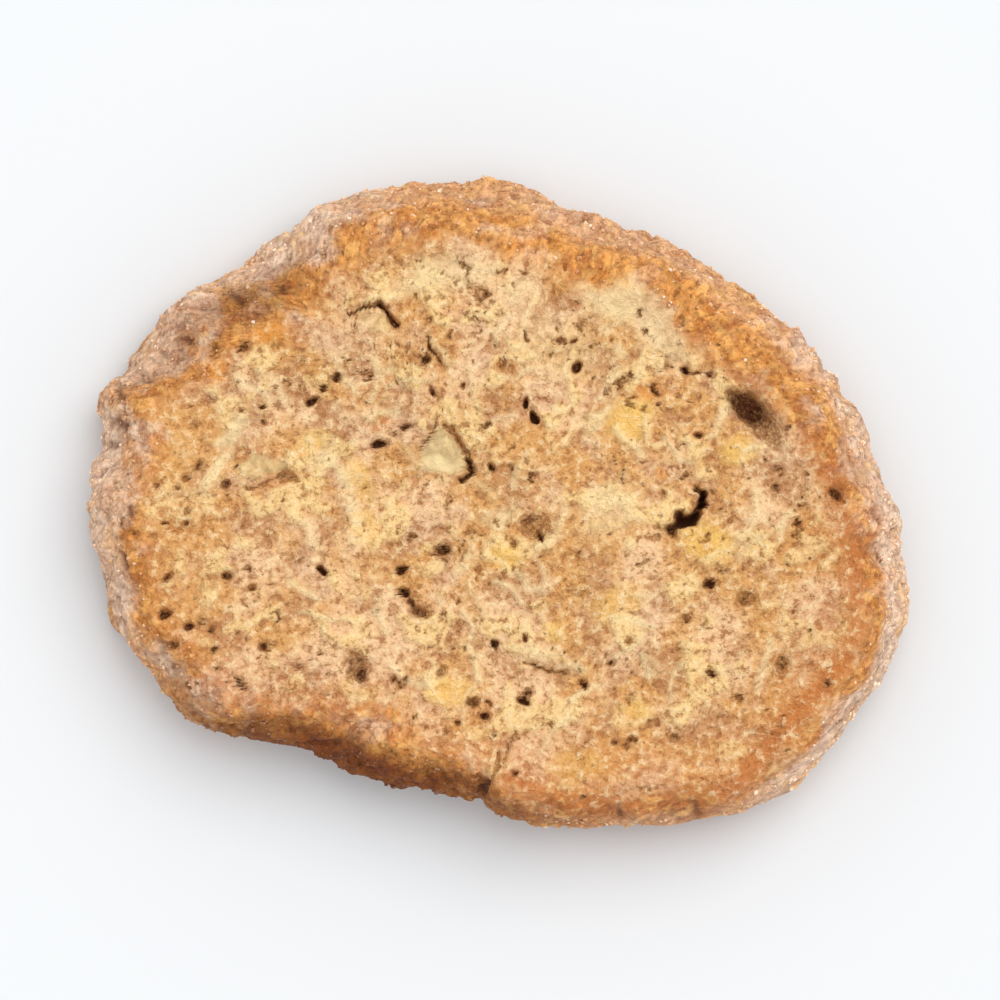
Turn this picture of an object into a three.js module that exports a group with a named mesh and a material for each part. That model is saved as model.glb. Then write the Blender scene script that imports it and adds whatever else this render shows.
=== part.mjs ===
// Apple and cinnamon biscuit: one slice of a small sugared loaf, cut on a slant and baked again,
// lying on its lower cut face. Millimetres, +Z up, with +X towards the slice's long end.
import * as THREE from "three";
import { mergeGeometries, mergeVertices } from "three/addons/utils/BufferGeometryUtils.js";

// Driving dimensions, in millimetres. Directions are degrees anticlockwise from +X, seen from above.
const HALF_LENGTH = 32.15;
const HALF_WIDTH = 23.95;
const LONG_AXIS = -14.3;
const THICKNESS = 9;

// The loaf's own shape: where its side swells out or falls in, past a plain oval.
const LOBES = [
  { at: 4, span: 5, reach: -0.7 },
  { at: 20, span: 34, reach: -1.4 },
  { at: 43, span: 4, reach: -0.6 },
  { at: 70, span: 9, reach: -1.2 },
  { at: 120, span: 14, reach: 0.8 },
  { at: 137, span: 16, reach: -2.5 },
  { at: 150, span: 4, reach: 0.5 },
  { at: 159, span: 8, reach: -1.7 },
  { at: 165, span: 3.6, reach: 1.4 },
  { at: 173, span: 3.4, reach: -0.9 },
  { at: 184, span: 5, reach: 0.5 },
  { at: 192, span: 12, reach: 0.9 },
  { at: 199, span: 4, reach: 0.6 },
  { at: 207, span: 2.6, reach: -0.6 },
  { at: 212, span: 15, reach: 2.9 },
  { at: 214, span: 3, reach: 0.4 },
  { at: 246, span: 20, reach: -1.4 },
  { at: 250, span: 5, reach: 0.8 },
  { at: 261, span: 3.6, reach: -0.7 },
  { at: 281, span: 10, reach: 0.8 },
  { at: 306, span: 4, reach: 0.5 },
  { at: 313, span: 16, reach: 2.2 },
  { at: 338, span: 9, reach: 0.7 },
  { at: 352, span: 2.5, reach: -0.5 },
];
const CREASE = { at: 265.5, span: 1.5, reach: -0.8, run: 5.5, deep: 1.0, groove: 0.7 };

// The crust slopes out below the upper face on the side towards LEAN, where the slanted cut bares
// most of it, and stands nearly upright opposite.
const LEAN = 84;
const CRUST_WIDTH = { leaning: 5.9, upright: 2.7 };
const WAIST_HEIGHT = { leaning: 2.6, upright: 5.2 };
const FOOT_INSET = { leaning: 1.0, upright: 2.6 };
const CRUST_SWELLS = [
  { at: 32, span: 16, reach: 0.9 },
  { at: 143, span: 14, reach: 1.5 },
  { at: 242, span: 17, reach: 1.1 },
  { at: 318, span: 24, reach: -0.4 },
];
const CRUST_SLOPE_POWER = 1.7;

// The rim stands a little above the crumb, most of all towards LIP_SIDE. Its crest and span are shares
// of the way from the middle of the face to the foot.
const LIP_SIDE = 335;
const LIP_RISE = { high: 0.75, low: 0.15 };
const LIP_RING = { crest: 0.73, span: 0.055 };

// Knobs of sugared dough on the crust, spread by a seeded draw.
const KNOBS = { count: 110, radius: [1.3, 2.8], rise: [0.25, 0.75], lowest: 0.97, seed: 2093 };

// Slow swell of the upper face, as waves that cross it.
const FACE_WAVES = [
  { along: 25, length: 24, rise: 0.2, phase: 60 },
  { along: 118, length: 17, rise: 0.16, phase: 200 },
  { along: 70, length: 9, rise: 0.09, phase: 20 },
];

// Hollows that bursting bubbles left in the upper face. Their walls run from the first to the second
// share of the way to their edge.
const HOLLOW_WALL = [0.2, 1.3];
const HOLLOWS = [
  { x: 20.0, y: 6.1, long: 5.6, wide: 3.0, turn: -42, deep: 2.6 },
  { x: 14.3, y: -1.2, long: 5.4, wide: 1.7, turn: 33, deep: 2.4 },
  { x: 19.1, y: -7.5, long: 2.2, wide: 2.0, turn: 0, deep: 1.4 },
  { x: -11.0, y: -12.9, long: 3.3, wide: 2.1, turn: 75, deep: 0.9 },
  { x: -6.7, y: -7.9, long: 3.0, wide: 1.6, turn: -40, deep: 1.2 },
  { x: 2.6, y: -2.0, long: 2.7, wide: 2.2, turn: 20, deep: 0.7 },
  { x: -16.7, y: 1.7, long: 5.0, wide: 1.5, turn: 8, deep: 0.8 },
];

// Diced apple that stands out of the upper face, as low mounds.
const MOUND_SPAN = 1.1;
const APPLE_DICE = [
  { x: -4.7, y: 3.8, long: 4.0, wide: 3.0, turn: 40, rise: 0.55 },
  { x: -9.4, y: 13.4, long: 4.6, wide: 3.0, turn: -28, rise: 0.5 },
  { x: -20.6, y: 4.8, long: 5.6, wide: 2.0, turn: 52, rise: 0.5 },
  { x: 16.0, y: -3.6, long: 4.4, wide: 3.0, turn: -20, rise: 0.45 },
  { x: 10.4, y: 7.2, long: 4.6, wide: 3.0, turn: 55, rise: 0.35 },
];

// The skin is a square grid drawn over the slice: its middle rings lie on the face, the next on the
// crust down to the waist, and the last turn under to the foot.
const GRID_CELLS = 72;
const FACE_SHARE = 0.7;
const WAIST_SHARE = 0.89;

const radians = THREE.MathUtils.degToRad;
const mix = THREE.MathUtils.lerp;

// Point at a direction, a distance out from the middle and a height.
const polar = (direction, radius, height) =>
  new THREE.Vector3(radius * Math.cos(radians(direction)), radius * Math.sin(radians(direction)), height);

// Bell curve that is 1 at no distance and fades over the span.
const bell = (distance, span) => Math.exp(-((distance / span) ** 2));

// Signed angle from one direction to another, in degrees within half a turn.
const angleGap = (from, to) => THREE.MathUtils.euclideanModulo(to - from + 180, 360) - 180;

// How much a direction faces a given side, from 0 for opposite to 1.
const facing = (direction, side) => 0.5 + 0.5 * Math.cos(radians(direction - side));

// Sum of the swells that a list of lobes gives in one direction.
const swell = (lobes, direction) =>
  lobes.reduce((sum, lobe) => sum + lobe.reach * bell(angleGap(lobe.at, direction), lobe.span), 0);

// Random numbers from 0 to 1 that are the same at each run.
function seededDraw(seed) {
  let state = seed;
  return () => {
    state = (Math.imul(state, 1664525) + 1013904223) >>> 0;
    return state / 2 ** 32;
  };
}

// Radius of the slice at its widest, in one direction.
function waistRadius(direction) {
  const turned = radians(direction - LONG_AXIS);
  const oval =
    (HALF_LENGTH * HALF_WIDTH) / Math.hypot(HALF_WIDTH * Math.cos(turned), HALF_LENGTH * Math.sin(turned));
  return oval + swell(LOBES, direction) + swell([CREASE], direction);
}

// Radius and height on the slice's smooth form, at a share of the way from the middle of the face.
function smoothForm(direction, share) {
  const leaning = facing(direction, LEAN);
  const waist = waistRadius(direction);
  const crust = mix(CRUST_WIDTH.upright, CRUST_WIDTH.leaning, leaning) + swell(CRUST_SWELLS, direction);
  const waistHeight = mix(WAIST_HEIGHT.upright, WAIST_HEIGHT.leaning, leaning);
  const footInset = mix(FOOT_INSET.upright, FOOT_INSET.leaning, leaning);
  if (share <= FACE_SHARE) {
    return { radius: (share / FACE_SHARE) * (waist - crust), height: THICKNESS };
  }
  if (share <= WAIST_SHARE) {
    const turn = ((share - FACE_SHARE) / (WAIST_SHARE - FACE_SHARE)) * (Math.PI / 2);
    const power = 2 / CRUST_SLOPE_POWER;
    return {
      radius: waist - crust * (1 - Math.sin(turn) ** power),
      height: waistHeight + (THICKNESS - waistHeight) * Math.max(Math.cos(turn), 0) ** power,
    };
  }
  const turn = ((share - WAIST_SHARE) / (1 - WAIST_SHARE)) * (Math.PI / 2);
  return {
    radius: waist - footInset * (1 - Math.cos(turn)),
    height: waistHeight * (1 - Math.sin(turn)),
  };
}

// Places of the crust's knobs: a direction and a share of the way from the middle of the face.
function drawKnobs() {
  const draw = seededDraw(KNOBS.seed);
  return Array.from({ length: KNOBS.count }, (_, index) => {
    const direction = ((index + draw()) / KNOBS.count) * 360;
    const share = mix(FACE_SHARE, KNOBS.lowest, draw());
    const { radius, height } = smoothForm(direction, share);
    return {
      centre: polar(direction, radius, height),
      radius: mix(...KNOBS.radius, draw()),
      rise: mix(...KNOBS.rise, draw()),
    };
  });
}
const knobs = drawKnobs();

// Distance from the middle of an oval mark on the face, as a share of the way to its edge.
function ovalDistance(mark, x, y) {
  const turn = radians(mark.turn);
  const along = (x - mark.x) * Math.cos(turn) + (y - mark.y) * Math.sin(turn);
  const across = (y - mark.y) * Math.cos(turn) - (x - mark.x) * Math.sin(turn);
  return Math.hypot(along / (mark.long / 2), across / (mark.wide / 2));
}

// Height that the face's waves, apple and hollows add at a point.
function faceRelief(x, y) {
  let rise = 0;
  for (const wave of FACE_WAVES) {
    const along = x * Math.cos(radians(wave.along)) + y * Math.sin(radians(wave.along));
    rise += wave.rise * Math.sin((2 * Math.PI * along) / wave.length + radians(wave.phase));
  }
  for (const die of APPLE_DICE) {
    rise += die.rise * bell(ovalDistance(die, x, y) ** 2, MOUND_SPAN);
  }
  for (const hollow of HOLLOWS) {
    rise -= hollow.deep * (1 - THREE.MathUtils.smoothstep(ovalDistance(hollow, x, y), ...HOLLOW_WALL));
  }
  return rise;
}

// Rise of the rim's lip, which is highest where the face meets the crust.
function lipRise(direction, share) {
  const rise = mix(LIP_RISE.low, LIP_RISE.high, facing(direction, LIP_SIDE));
  return rise * bell(share - LIP_RING.crest, LIP_RING.span);
}

// Depth of the groove that runs in from the crease at the edge.
function creaseDepth(direction, radius) {
  const fromEdge = waistRadius(direction) - radius;
  const across = radians(angleGap(CREASE.at, direction)) * radius;
  return CREASE.deep * bell(across, CREASE.groove) * Math.max(0, 1 - fromEdge / CREASE.run);
}

// Point of the finished skin, in one direction at a share of the way from the middle to the foot.
function skinPoint(direction, share) {
  const { radius, height } = smoothForm(direction, share);
  const point = polar(direction, radius, height);
  if (share === 1) return point;
  const onFace = THREE.MathUtils.smoothstep(WAIST_SHARE - share, 0, WAIST_SHARE - FACE_SHARE);
  point.z += onFace * (faceRelief(point.x, point.y) - creaseDepth(direction, radius));
  point.z += lipRise(direction, share);
  const outward = polar(direction, 1, onFace).normalize();
  for (const knob of knobs) {
    point.addScaledVector(outward, knob.rise * bell(point.distanceTo(knob.centre), knob.radius));
  }
  return point;
}

// Upper skin: each ring of the square grid is spread evenly round the slice.
function skinGeometry() {
  const skin = new THREE.PlaneGeometry(2, 2, GRID_CELLS, GRID_CELLS);
  const place = skin.getAttribute("position");
  for (let i = 0; i < place.count; i++) {
    const [u, v] = [place.getX(i), place.getY(i)];
    const share = Math.max(Math.abs(u), Math.abs(v));
    let direction = Math.abs(u) >= Math.abs(v) ? 45 * (v / (u || 1)) : 90 - 45 * (u / v);
    if (Math.abs(u) >= Math.abs(v) ? u < 0 : v < 0) direction += 180;
    place.setXYZ(i, ...skinPoint(direction, share).toArray());
  }
  return skin;
}

// Lower cut face: one flat polygon round the foot, facing down.
function footGeometry() {
  const sides = GRID_CELLS * 4;
  const corners = Array.from({ length: sides }, (_, i) => {
    const foot = skinPoint((i / sides) * 360, 1);
    return new THREE.Vector2(foot.x, foot.y);
  });
  const foot = new THREE.ShapeGeometry(new THREE.Shape(corners));
  foot.getIndex().array.reverse();
  return foot;
}

// The slice as one closed skin, centred over its box.
function biscuitGeometry() {
  const shells = [skinGeometry(), footGeometry()].map((shell) => {
    shell.deleteAttribute("normal");
    shell.deleteAttribute("uv");
    return shell;
  });
  const biscuit = mergeVertices(mergeGeometries(shells), 1e-3);
  biscuit.computeBoundingBox();
  const middle = biscuit.boundingBox.getCenter(new THREE.Vector3());
  biscuit.translate(-middle.x, -middle.y, 0);
  biscuit.computeVertexNormals();
  return biscuit;
}

const bakedCrumb = new THREE.MeshStandardMaterial({ color: 0xc99b63, roughness: 0.85, metalness: 0 });
const biscuit = new THREE.Mesh(biscuitGeometry(), bakedCrumb);
biscuit.name = "biscuit";

const part = new THREE.Group();
part.add(biscuit);

export default part;
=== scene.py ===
"""Looks of an apple and cinnamon biscuit: a slice of a small sugared loaf, baked twice."""

import logging
import math
import random
from dataclasses import dataclass, field
from enum import Enum

import bmesh
import bpy
import numpy as np
from mathutils import Euler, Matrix, Vector, kdtree, noise


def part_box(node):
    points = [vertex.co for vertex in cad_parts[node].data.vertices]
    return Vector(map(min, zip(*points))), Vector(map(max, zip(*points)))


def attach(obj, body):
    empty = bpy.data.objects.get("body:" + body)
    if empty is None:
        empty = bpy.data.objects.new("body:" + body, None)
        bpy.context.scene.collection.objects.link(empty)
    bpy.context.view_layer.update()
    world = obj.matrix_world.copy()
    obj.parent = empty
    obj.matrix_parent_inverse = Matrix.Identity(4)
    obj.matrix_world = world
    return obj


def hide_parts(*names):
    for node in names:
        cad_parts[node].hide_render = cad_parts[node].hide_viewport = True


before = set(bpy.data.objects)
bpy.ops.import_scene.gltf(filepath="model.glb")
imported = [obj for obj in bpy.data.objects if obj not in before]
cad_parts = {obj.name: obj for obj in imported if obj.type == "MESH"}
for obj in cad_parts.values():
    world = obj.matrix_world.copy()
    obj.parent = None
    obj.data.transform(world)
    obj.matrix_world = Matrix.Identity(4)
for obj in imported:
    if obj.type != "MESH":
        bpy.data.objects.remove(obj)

LOG = logging.getLogger("biscuit")
MM = 0.001
OFFSET_WAY = np.array((1.0, 0.37, -0.71))
PEBBLE_HASH = np.array((12.9898, 78.233, 37.719))
PEBBLE_SCATTER = 43758.5453
DRAW_STEP, DRAW_SHIFT, DRAW_RANGE = 1664525, 1013904223, 2**32

Colour = tuple[float, float, float, float]
Span = tuple[float, float]
Array = np.ndarray
Socket = bpy.types.NodeSocket


def colour(red: int, green: int, blue: int) -> Colour:
    """Turns a screen colour into the linear one that shaders take.

    Args:
        red: Red, from 0 to 255.
        green: Green, from 0 to 255.
        blue: Blue, from 0 to 255.

    Returns:
        The linear colour, opaque.
    """
    shares = [part / 255 for part in (red, green, blue)]
    line = [s / 12.92 if s <= 0.04045 else ((s + 0.055) / 1.055) ** 2.4 for s in shares]
    return (line[0], line[1], line[2], 1.0)


def between(ends: Span, share: Array | float) -> Array | float:
    """Value at a share of the way from the first end to the second."""
    return ends[0] + (ends[1] - ends[0]) * share


def gained(start_and_gain: Span, amount: float, most: float = 1.0) -> float:
    """Start plus a gain for each unit of an amount, up to a limit."""
    return min(most, start_and_gain[0] + start_and_gain[1] * amount)


def bell(distance: Array, span: float) -> Array:
    """Bell curve that is 1 at no distance and fades over the span."""
    return np.exp(-((distance / span) ** 2))


def ease(value: Array, low: float, high: float) -> Array:
    """Smooth step from 0 at low to 1 at high."""
    share = np.clip((value - low) / (high - low), 0.0, 1.0)
    return share * share * (3 - 2 * share)


def angle_gap(start: float, direction: Array) -> Array:
    """Signed angle from start to a direction, in degrees within half a turn."""
    return (direction - start + 180) % 360 - 180


def facing(direction: Array, side: float) -> Array:
    """How much a direction faces a side, from 0 for opposite to 1."""
    return 0.5 + 0.5 * np.cos(np.radians(direction - side))


def read_points(mesh: bpy.types.Mesh) -> tuple[Array, Array]:
    """Reads a mesh's points and normals.

    Args:
        mesh: Mesh to read.

    Returns:
        Its points, in its own unit, and their normals, one a row.
    """
    places, normals = np.empty(len(mesh.vertices) * 3), np.empty(len(mesh.vertices) * 3)
    mesh.vertices.foreach_get("co", places)
    mesh.vertex_normals.foreach_get("vector", normals)
    return places.reshape(-1, 3), normals.reshape(-1, 3)


def write_values(mesh: bpy.types.Mesh, name: str, values: Array) -> None:
    """Stores a value at each of a mesh's points, for a finish to read."""
    layer = mesh.attributes.new(name, "FLOAT", "POINT")
    layer.data.foreach_set("value", values.astype(np.float32))


@dataclass(frozen=True)
class Ripple:
    """Stretch of noise: waves to a millimetre, and an offset that picks the stretch."""

    per_mm: float
    offset: float

    def places(self, points: Array) -> list[list[float]]:
        """Places in the noise that points in millimetres are read at."""
        return (points * self.per_mm + self.offset * OFFSET_WAY).tolist()

    def at(self, points: Array) -> Array:
        """Soft noise at each point, from about -1 to 1."""
        return np.array([noise.noise(place) for place in self.places(points)])

    def pebbles(self, points: Array) -> tuple[Array, Array, Array]:
        """Reads pebbles that are packed side by side.

        Args:
            points: Points in millimetres, one a row.

        Returns:
            The distance to the nearest pebble's middle and how much further the next one's is, both in
            pebbles, and a random value from 0 to 1 for each pebble.
        """
        found = [noise.voronoi(place) for place in self.places(points)]
        gaps = np.array([distances[:2] for distances, _ in found])
        middles = np.round([middles[0] for _, middles in found], 2)
        mixed = np.sin(middles @ PEBBLE_HASH) * PEBBLE_SCATTER
        return gaps[:, 0], gaps[:, 1] - gaps[:, 0], mixed - np.floor(mixed)


@dataclass(frozen=True)
class Lobe:
    """Swell towards one side of the slice: its direction and span in degrees, and how much it swells."""

    at: float
    span: float
    reach: float


@dataclass(frozen=True)
class Oval:
    """Oval mark on the upper face, in millimetres and degrees."""

    x: float
    y: float
    long: float
    wide: float
    turn: float = 0.0
    deep: float = 1.0

    def distance(self, x: Array, y: Array) -> Array:
        """Measures how far points are from the middle.

        Args:
            x: Points across the slice.
            y: Points along its width.

        Returns:
            Distances as shares of the way to the edge.
        """
        turn = math.radians(self.turn)
        along = (x - self.x) * math.cos(turn) + (y - self.y) * math.sin(turn)
        across = (y - self.y) * math.cos(turn) - (x - self.x) * math.sin(turn)
        return np.hypot(along / (self.long / 2), across / (self.wide / 2))


@dataclass(frozen=True)
class Crack:
    """Mark on the upper face along a line of points, in millimetres."""

    line: tuple[Span, ...]
    wide: float
    deep: float

    def distance(self, x: Array, y: Array) -> Array:
        """Measures how far points are from the line.

        Args:
            x: Points across the slice.
            y: Points along its width.

        Returns:
            Distances in millimetres.
        """
        best = np.full(x.shape, np.inf)
        for (ax, ay), (bx, by) in zip(self.line, self.line[1:]):
            dx, dy = bx - ax, by - ay
            share = np.clip(((x - ax) * dx + (y - ay) * dy) / (dx * dx + dy * dy), 0, 1)
            best = np.minimum(best, np.hypot(x - ax - share * dx, y - ay - share * dy))
        return best


@dataclass(frozen=True)
class Die:
    """Piece of apple that shows in the upper face, in millimetres."""

    corners: tuple[Span, ...]
    rise: float
    slope: Span
    strength: float

    def inside(self, x: Array, y: Array) -> Array:
        """Measures how far points are in from the nearest side.

        Args:
            x: Points across the slice.
            y: Points along its width.

        Returns:
            Distances in millimetres, for corners that go round anticlockwise.
        """
        best = np.full(x.shape, np.inf)
        for (ax, ay), (bx, by) in zip(self.corners, self.corners[1:] + self.corners[:1]):
            dx, dy = bx - ax, by - ay
            best = np.minimum(best, (dx * (y - ay) - dy * (x - ax)) / math.hypot(dx, dy))
        return best

    def level(self, x: Array, y: Array) -> Array:
        """Height of the piece above the face."""
        middle = np.mean(self.corners, axis=0)
        return self.rise + self.slope[0] * (x - middle[0]) + self.slope[1] * (y - middle[1])


class Tint(Enum):
    """Colour that a patch of the upper face takes on."""

    GOLDEN = "golden"
    PALE = "pale"
    TOASTED = "toasted"
    AMBER = "amber"


class Blend(Enum):
    """Way that two colours are mixed."""

    OVER = "MIX"
    MULTIPLY = "MULTIPLY"


@dataclass(frozen=True)
class Patch:
    """Tinted patch of the upper face and how strong its tint is."""

    tint: Tint
    oval: Oval
    strength: float


@dataclass(frozen=True)
class SliceForm:
    """The slice's smooth form, in millimetres, with directions in degrees from +X.

    Widths, heights and insets in pairs go from the upright side to the leaning one. Each wave has a
    direction, a length, a height and a phase.
    """

    half_length: float = 32.15
    half_width: float = 23.95
    long_axis: float = -14.3
    thickness: float = 9.0
    lobes: tuple[Lobe, ...] = (
        Lobe(4, 5, -0.7),
        Lobe(20, 34, -1.4),
        Lobe(43, 4, -0.6),
        Lobe(70, 9, -1.2),
        Lobe(120, 14, 0.8),
        Lobe(137, 16, -2.5),
        Lobe(150, 4, 0.5),
        Lobe(159, 8, -1.7),
        Lobe(165, 3.6, 1.4),
        Lobe(173, 3.4, -0.9),
        Lobe(184, 5, 0.5),
        Lobe(192, 12, 0.9),
        Lobe(199, 4, 0.6),
        Lobe(207, 2.6, -0.6),
        Lobe(212, 15, 2.9),
        Lobe(214, 3, 0.4),
        Lobe(246, 20, -1.4),
        Lobe(250, 5, 0.8),
        Lobe(261, 3.6, -0.7),
        Lobe(281, 10, 0.8),
        Lobe(306, 4, 0.5),
        Lobe(313, 16, 2.2),
        Lobe(338, 9, 0.7),
        Lobe(352, 2.5, -0.5),
    )
    crease: Lobe = Lobe(265.5, 1.5, -0.8)
    crease_run: float = 5.5
    crease_deep: float = 1.0
    crease_groove: float = 0.7
    lean: float = 84.0
    crust_width: Span = (2.7, 5.9)
    crust_swells: tuple[Lobe, ...] = (
        Lobe(32, 16, 0.9),
        Lobe(143, 14, 1.5),
        Lobe(242, 17, 1.1),
        Lobe(318, 24, -0.4),
    )
    crust_slope_power: float = 1.7
    waist_height: Span = (5.2, 2.6)
    foot_inset: Span = (2.6, 1.0)
    lip_side: float = 335.0
    lip_rise: Span = (0.15, 0.75)
    lip_out: float = 0.03
    lip_span: float = 0.055
    waves: tuple[tuple[float, float, float, float], ...] = (
        (25, 24, 0.2, 60),
        (118, 17, 0.16, 200),
        (70, 9, 0.09, 20),
    )
    face_share: float = 0.7
    waist_share: float = 0.89
    knob_count: int = 110
    knob_radius: Span = (1.3, 2.8)
    knob_rise: Span = (0.25, 0.75)
    knob_seed: int = 2093
    knob_lowest: float = 0.97

    @staticmethod
    def swell(lobes: tuple[Lobe, ...], direction: Array) -> Array:
        """Sum of the swells that a set of lobes gives in each direction."""
        return sum(lobe.reach * bell(angle_gap(lobe.at, direction), lobe.span) for lobe in lobes)

    def leaning(self, direction: Array, ends: Span) -> Array:
        """Blend from an upright side's size to a leaning side's."""
        return between(ends, facing(direction, self.lean))

    def waist(self, direction: Array) -> Array:
        """Finds the radius of the slice at its widest.

        Args:
            direction: Directions in degrees.

        Returns:
            The radius in each direction, in millimetres.
        """
        turned = np.radians(direction - self.long_axis)
        oval = self.half_length * self.half_width / np.hypot(
            self.half_width * np.cos(turned), self.half_length * np.sin(turned)
        )
        return oval + self.swell(self.lobes, direction) + self.swell((self.crease,), direction)

    def crust(self, direction: Array) -> Array:
        """Width of the crust that shows from above, in each direction."""
        return self.leaning(direction, self.crust_width) + self.swell(self.crust_swells, direction)

    def smooth(self, direction: Array, share: Array) -> Array:
        """Finds points on the form without its knobs and relief.

        Args:
            direction: Directions in degrees.
            share: Share of the way from the face's middle to the foot.

        Returns:
            Points in millimetres, one a row.
        """
        waist = self.waist(direction)
        crust = self.crust(direction)
        high = self.leaning(direction, self.waist_height)
        inset = self.leaning(direction, self.foot_inset)
        down = np.clip((share - self.face_share) / (self.waist_share - self.face_share), 0, 1)
        under = np.clip((share - self.waist_share) / (1 - self.waist_share), 0, 1)
        down, under = down * math.pi / 2, under * math.pi / 2
        power = 2 / self.crust_slope_power
        slope_out = waist - crust * (1 - np.sin(down) ** power)
        slope_high = high + (self.thickness - high) * np.maximum(np.cos(down), 0) ** power
        face_out = share / self.face_share * (waist - crust)
        radius = np.select(
            [share <= self.face_share, share <= self.waist_share],
            [face_out, slope_out],
            waist - inset * (1 - np.cos(under)),
        )
        height = np.select(
            [share <= self.face_share, share <= self.waist_share],
            [np.full(share.shape, self.thickness), slope_high],
            high * (1 - np.sin(under)),
        )
        turn = np.radians(direction)
        return np.stack([radius * np.cos(turn), radius * np.sin(turn), height], axis=1)

    def knobs(self) -> list[tuple[Array, float, float]]:
        """Spreads the crust's knobs by a seeded draw.

        Returns:
            The middle, radius and rise of each knob, in millimetres.
        """
        state = self.knob_seed
        found = []
        for index in range(self.knob_count):
            draws = []
            for _ in range(4):
                state = (state * DRAW_STEP + DRAW_SHIFT) % DRAW_RANGE
                draws.append(state / DRAW_RANGE)
            direction = np.array([(index + draws[0]) / self.knob_count * 360])
            share = np.array([between((self.face_share, self.knob_lowest), draws[1])])
            radius, rise = between(self.knob_radius, draws[2]), between(self.knob_rise, draws[3])
            found.append((self.smooth(direction, share)[0], radius, rise))
        return found

    def skin(self, direction: Array, share: Array) -> Array:
        """Finds points on the form with its waves, lip, crease and knobs.

        Args:
            direction: Directions in degrees.
            share: Share of the way from the face's middle to the foot.

        Returns:
            Points in millimetres, one a row.
        """
        points = self.smooth(direction, share)
        above = share < 1 - 1e-6
        on_face = ease(self.waist_share - share, 0, self.waist_share - self.face_share)
        radius = np.hypot(points[:, 0], points[:, 1])
        rise = np.zeros(share.shape)
        for along, length, high, phase in self.waves:
            turn = math.radians(along)
            way = points[:, 0] * math.cos(turn) + points[:, 1] * math.sin(turn)
            rise += high * np.sin(2 * math.pi * way / length + math.radians(phase))
        across = np.radians(angle_gap(self.crease.at, direction)) * radius
        inward = np.maximum(0, 1 - (self.waist(direction) - radius) / self.crease_run)
        rise -= self.crease_deep * bell(across, self.crease_groove) * inward
        lip = between(self.lip_rise, facing(direction, self.lip_side))
        lift = on_face * rise + lip * bell(share - (self.face_share + self.lip_out), self.lip_span)
        points[:, 2] += np.where(above, lift, 0)
        turn = np.radians(direction)
        outward = np.stack([np.cos(turn), np.sin(turn), on_face], axis=1)
        outward /= np.linalg.norm(outward, axis=1, keepdims=True)
        outward *= above[:, None]
        for middle, reach, high in self.knobs():
            gap = np.linalg.norm(points - middle, axis=1)
            points += outward * (high * bell(gap, reach))[:, None]
        return points


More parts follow.
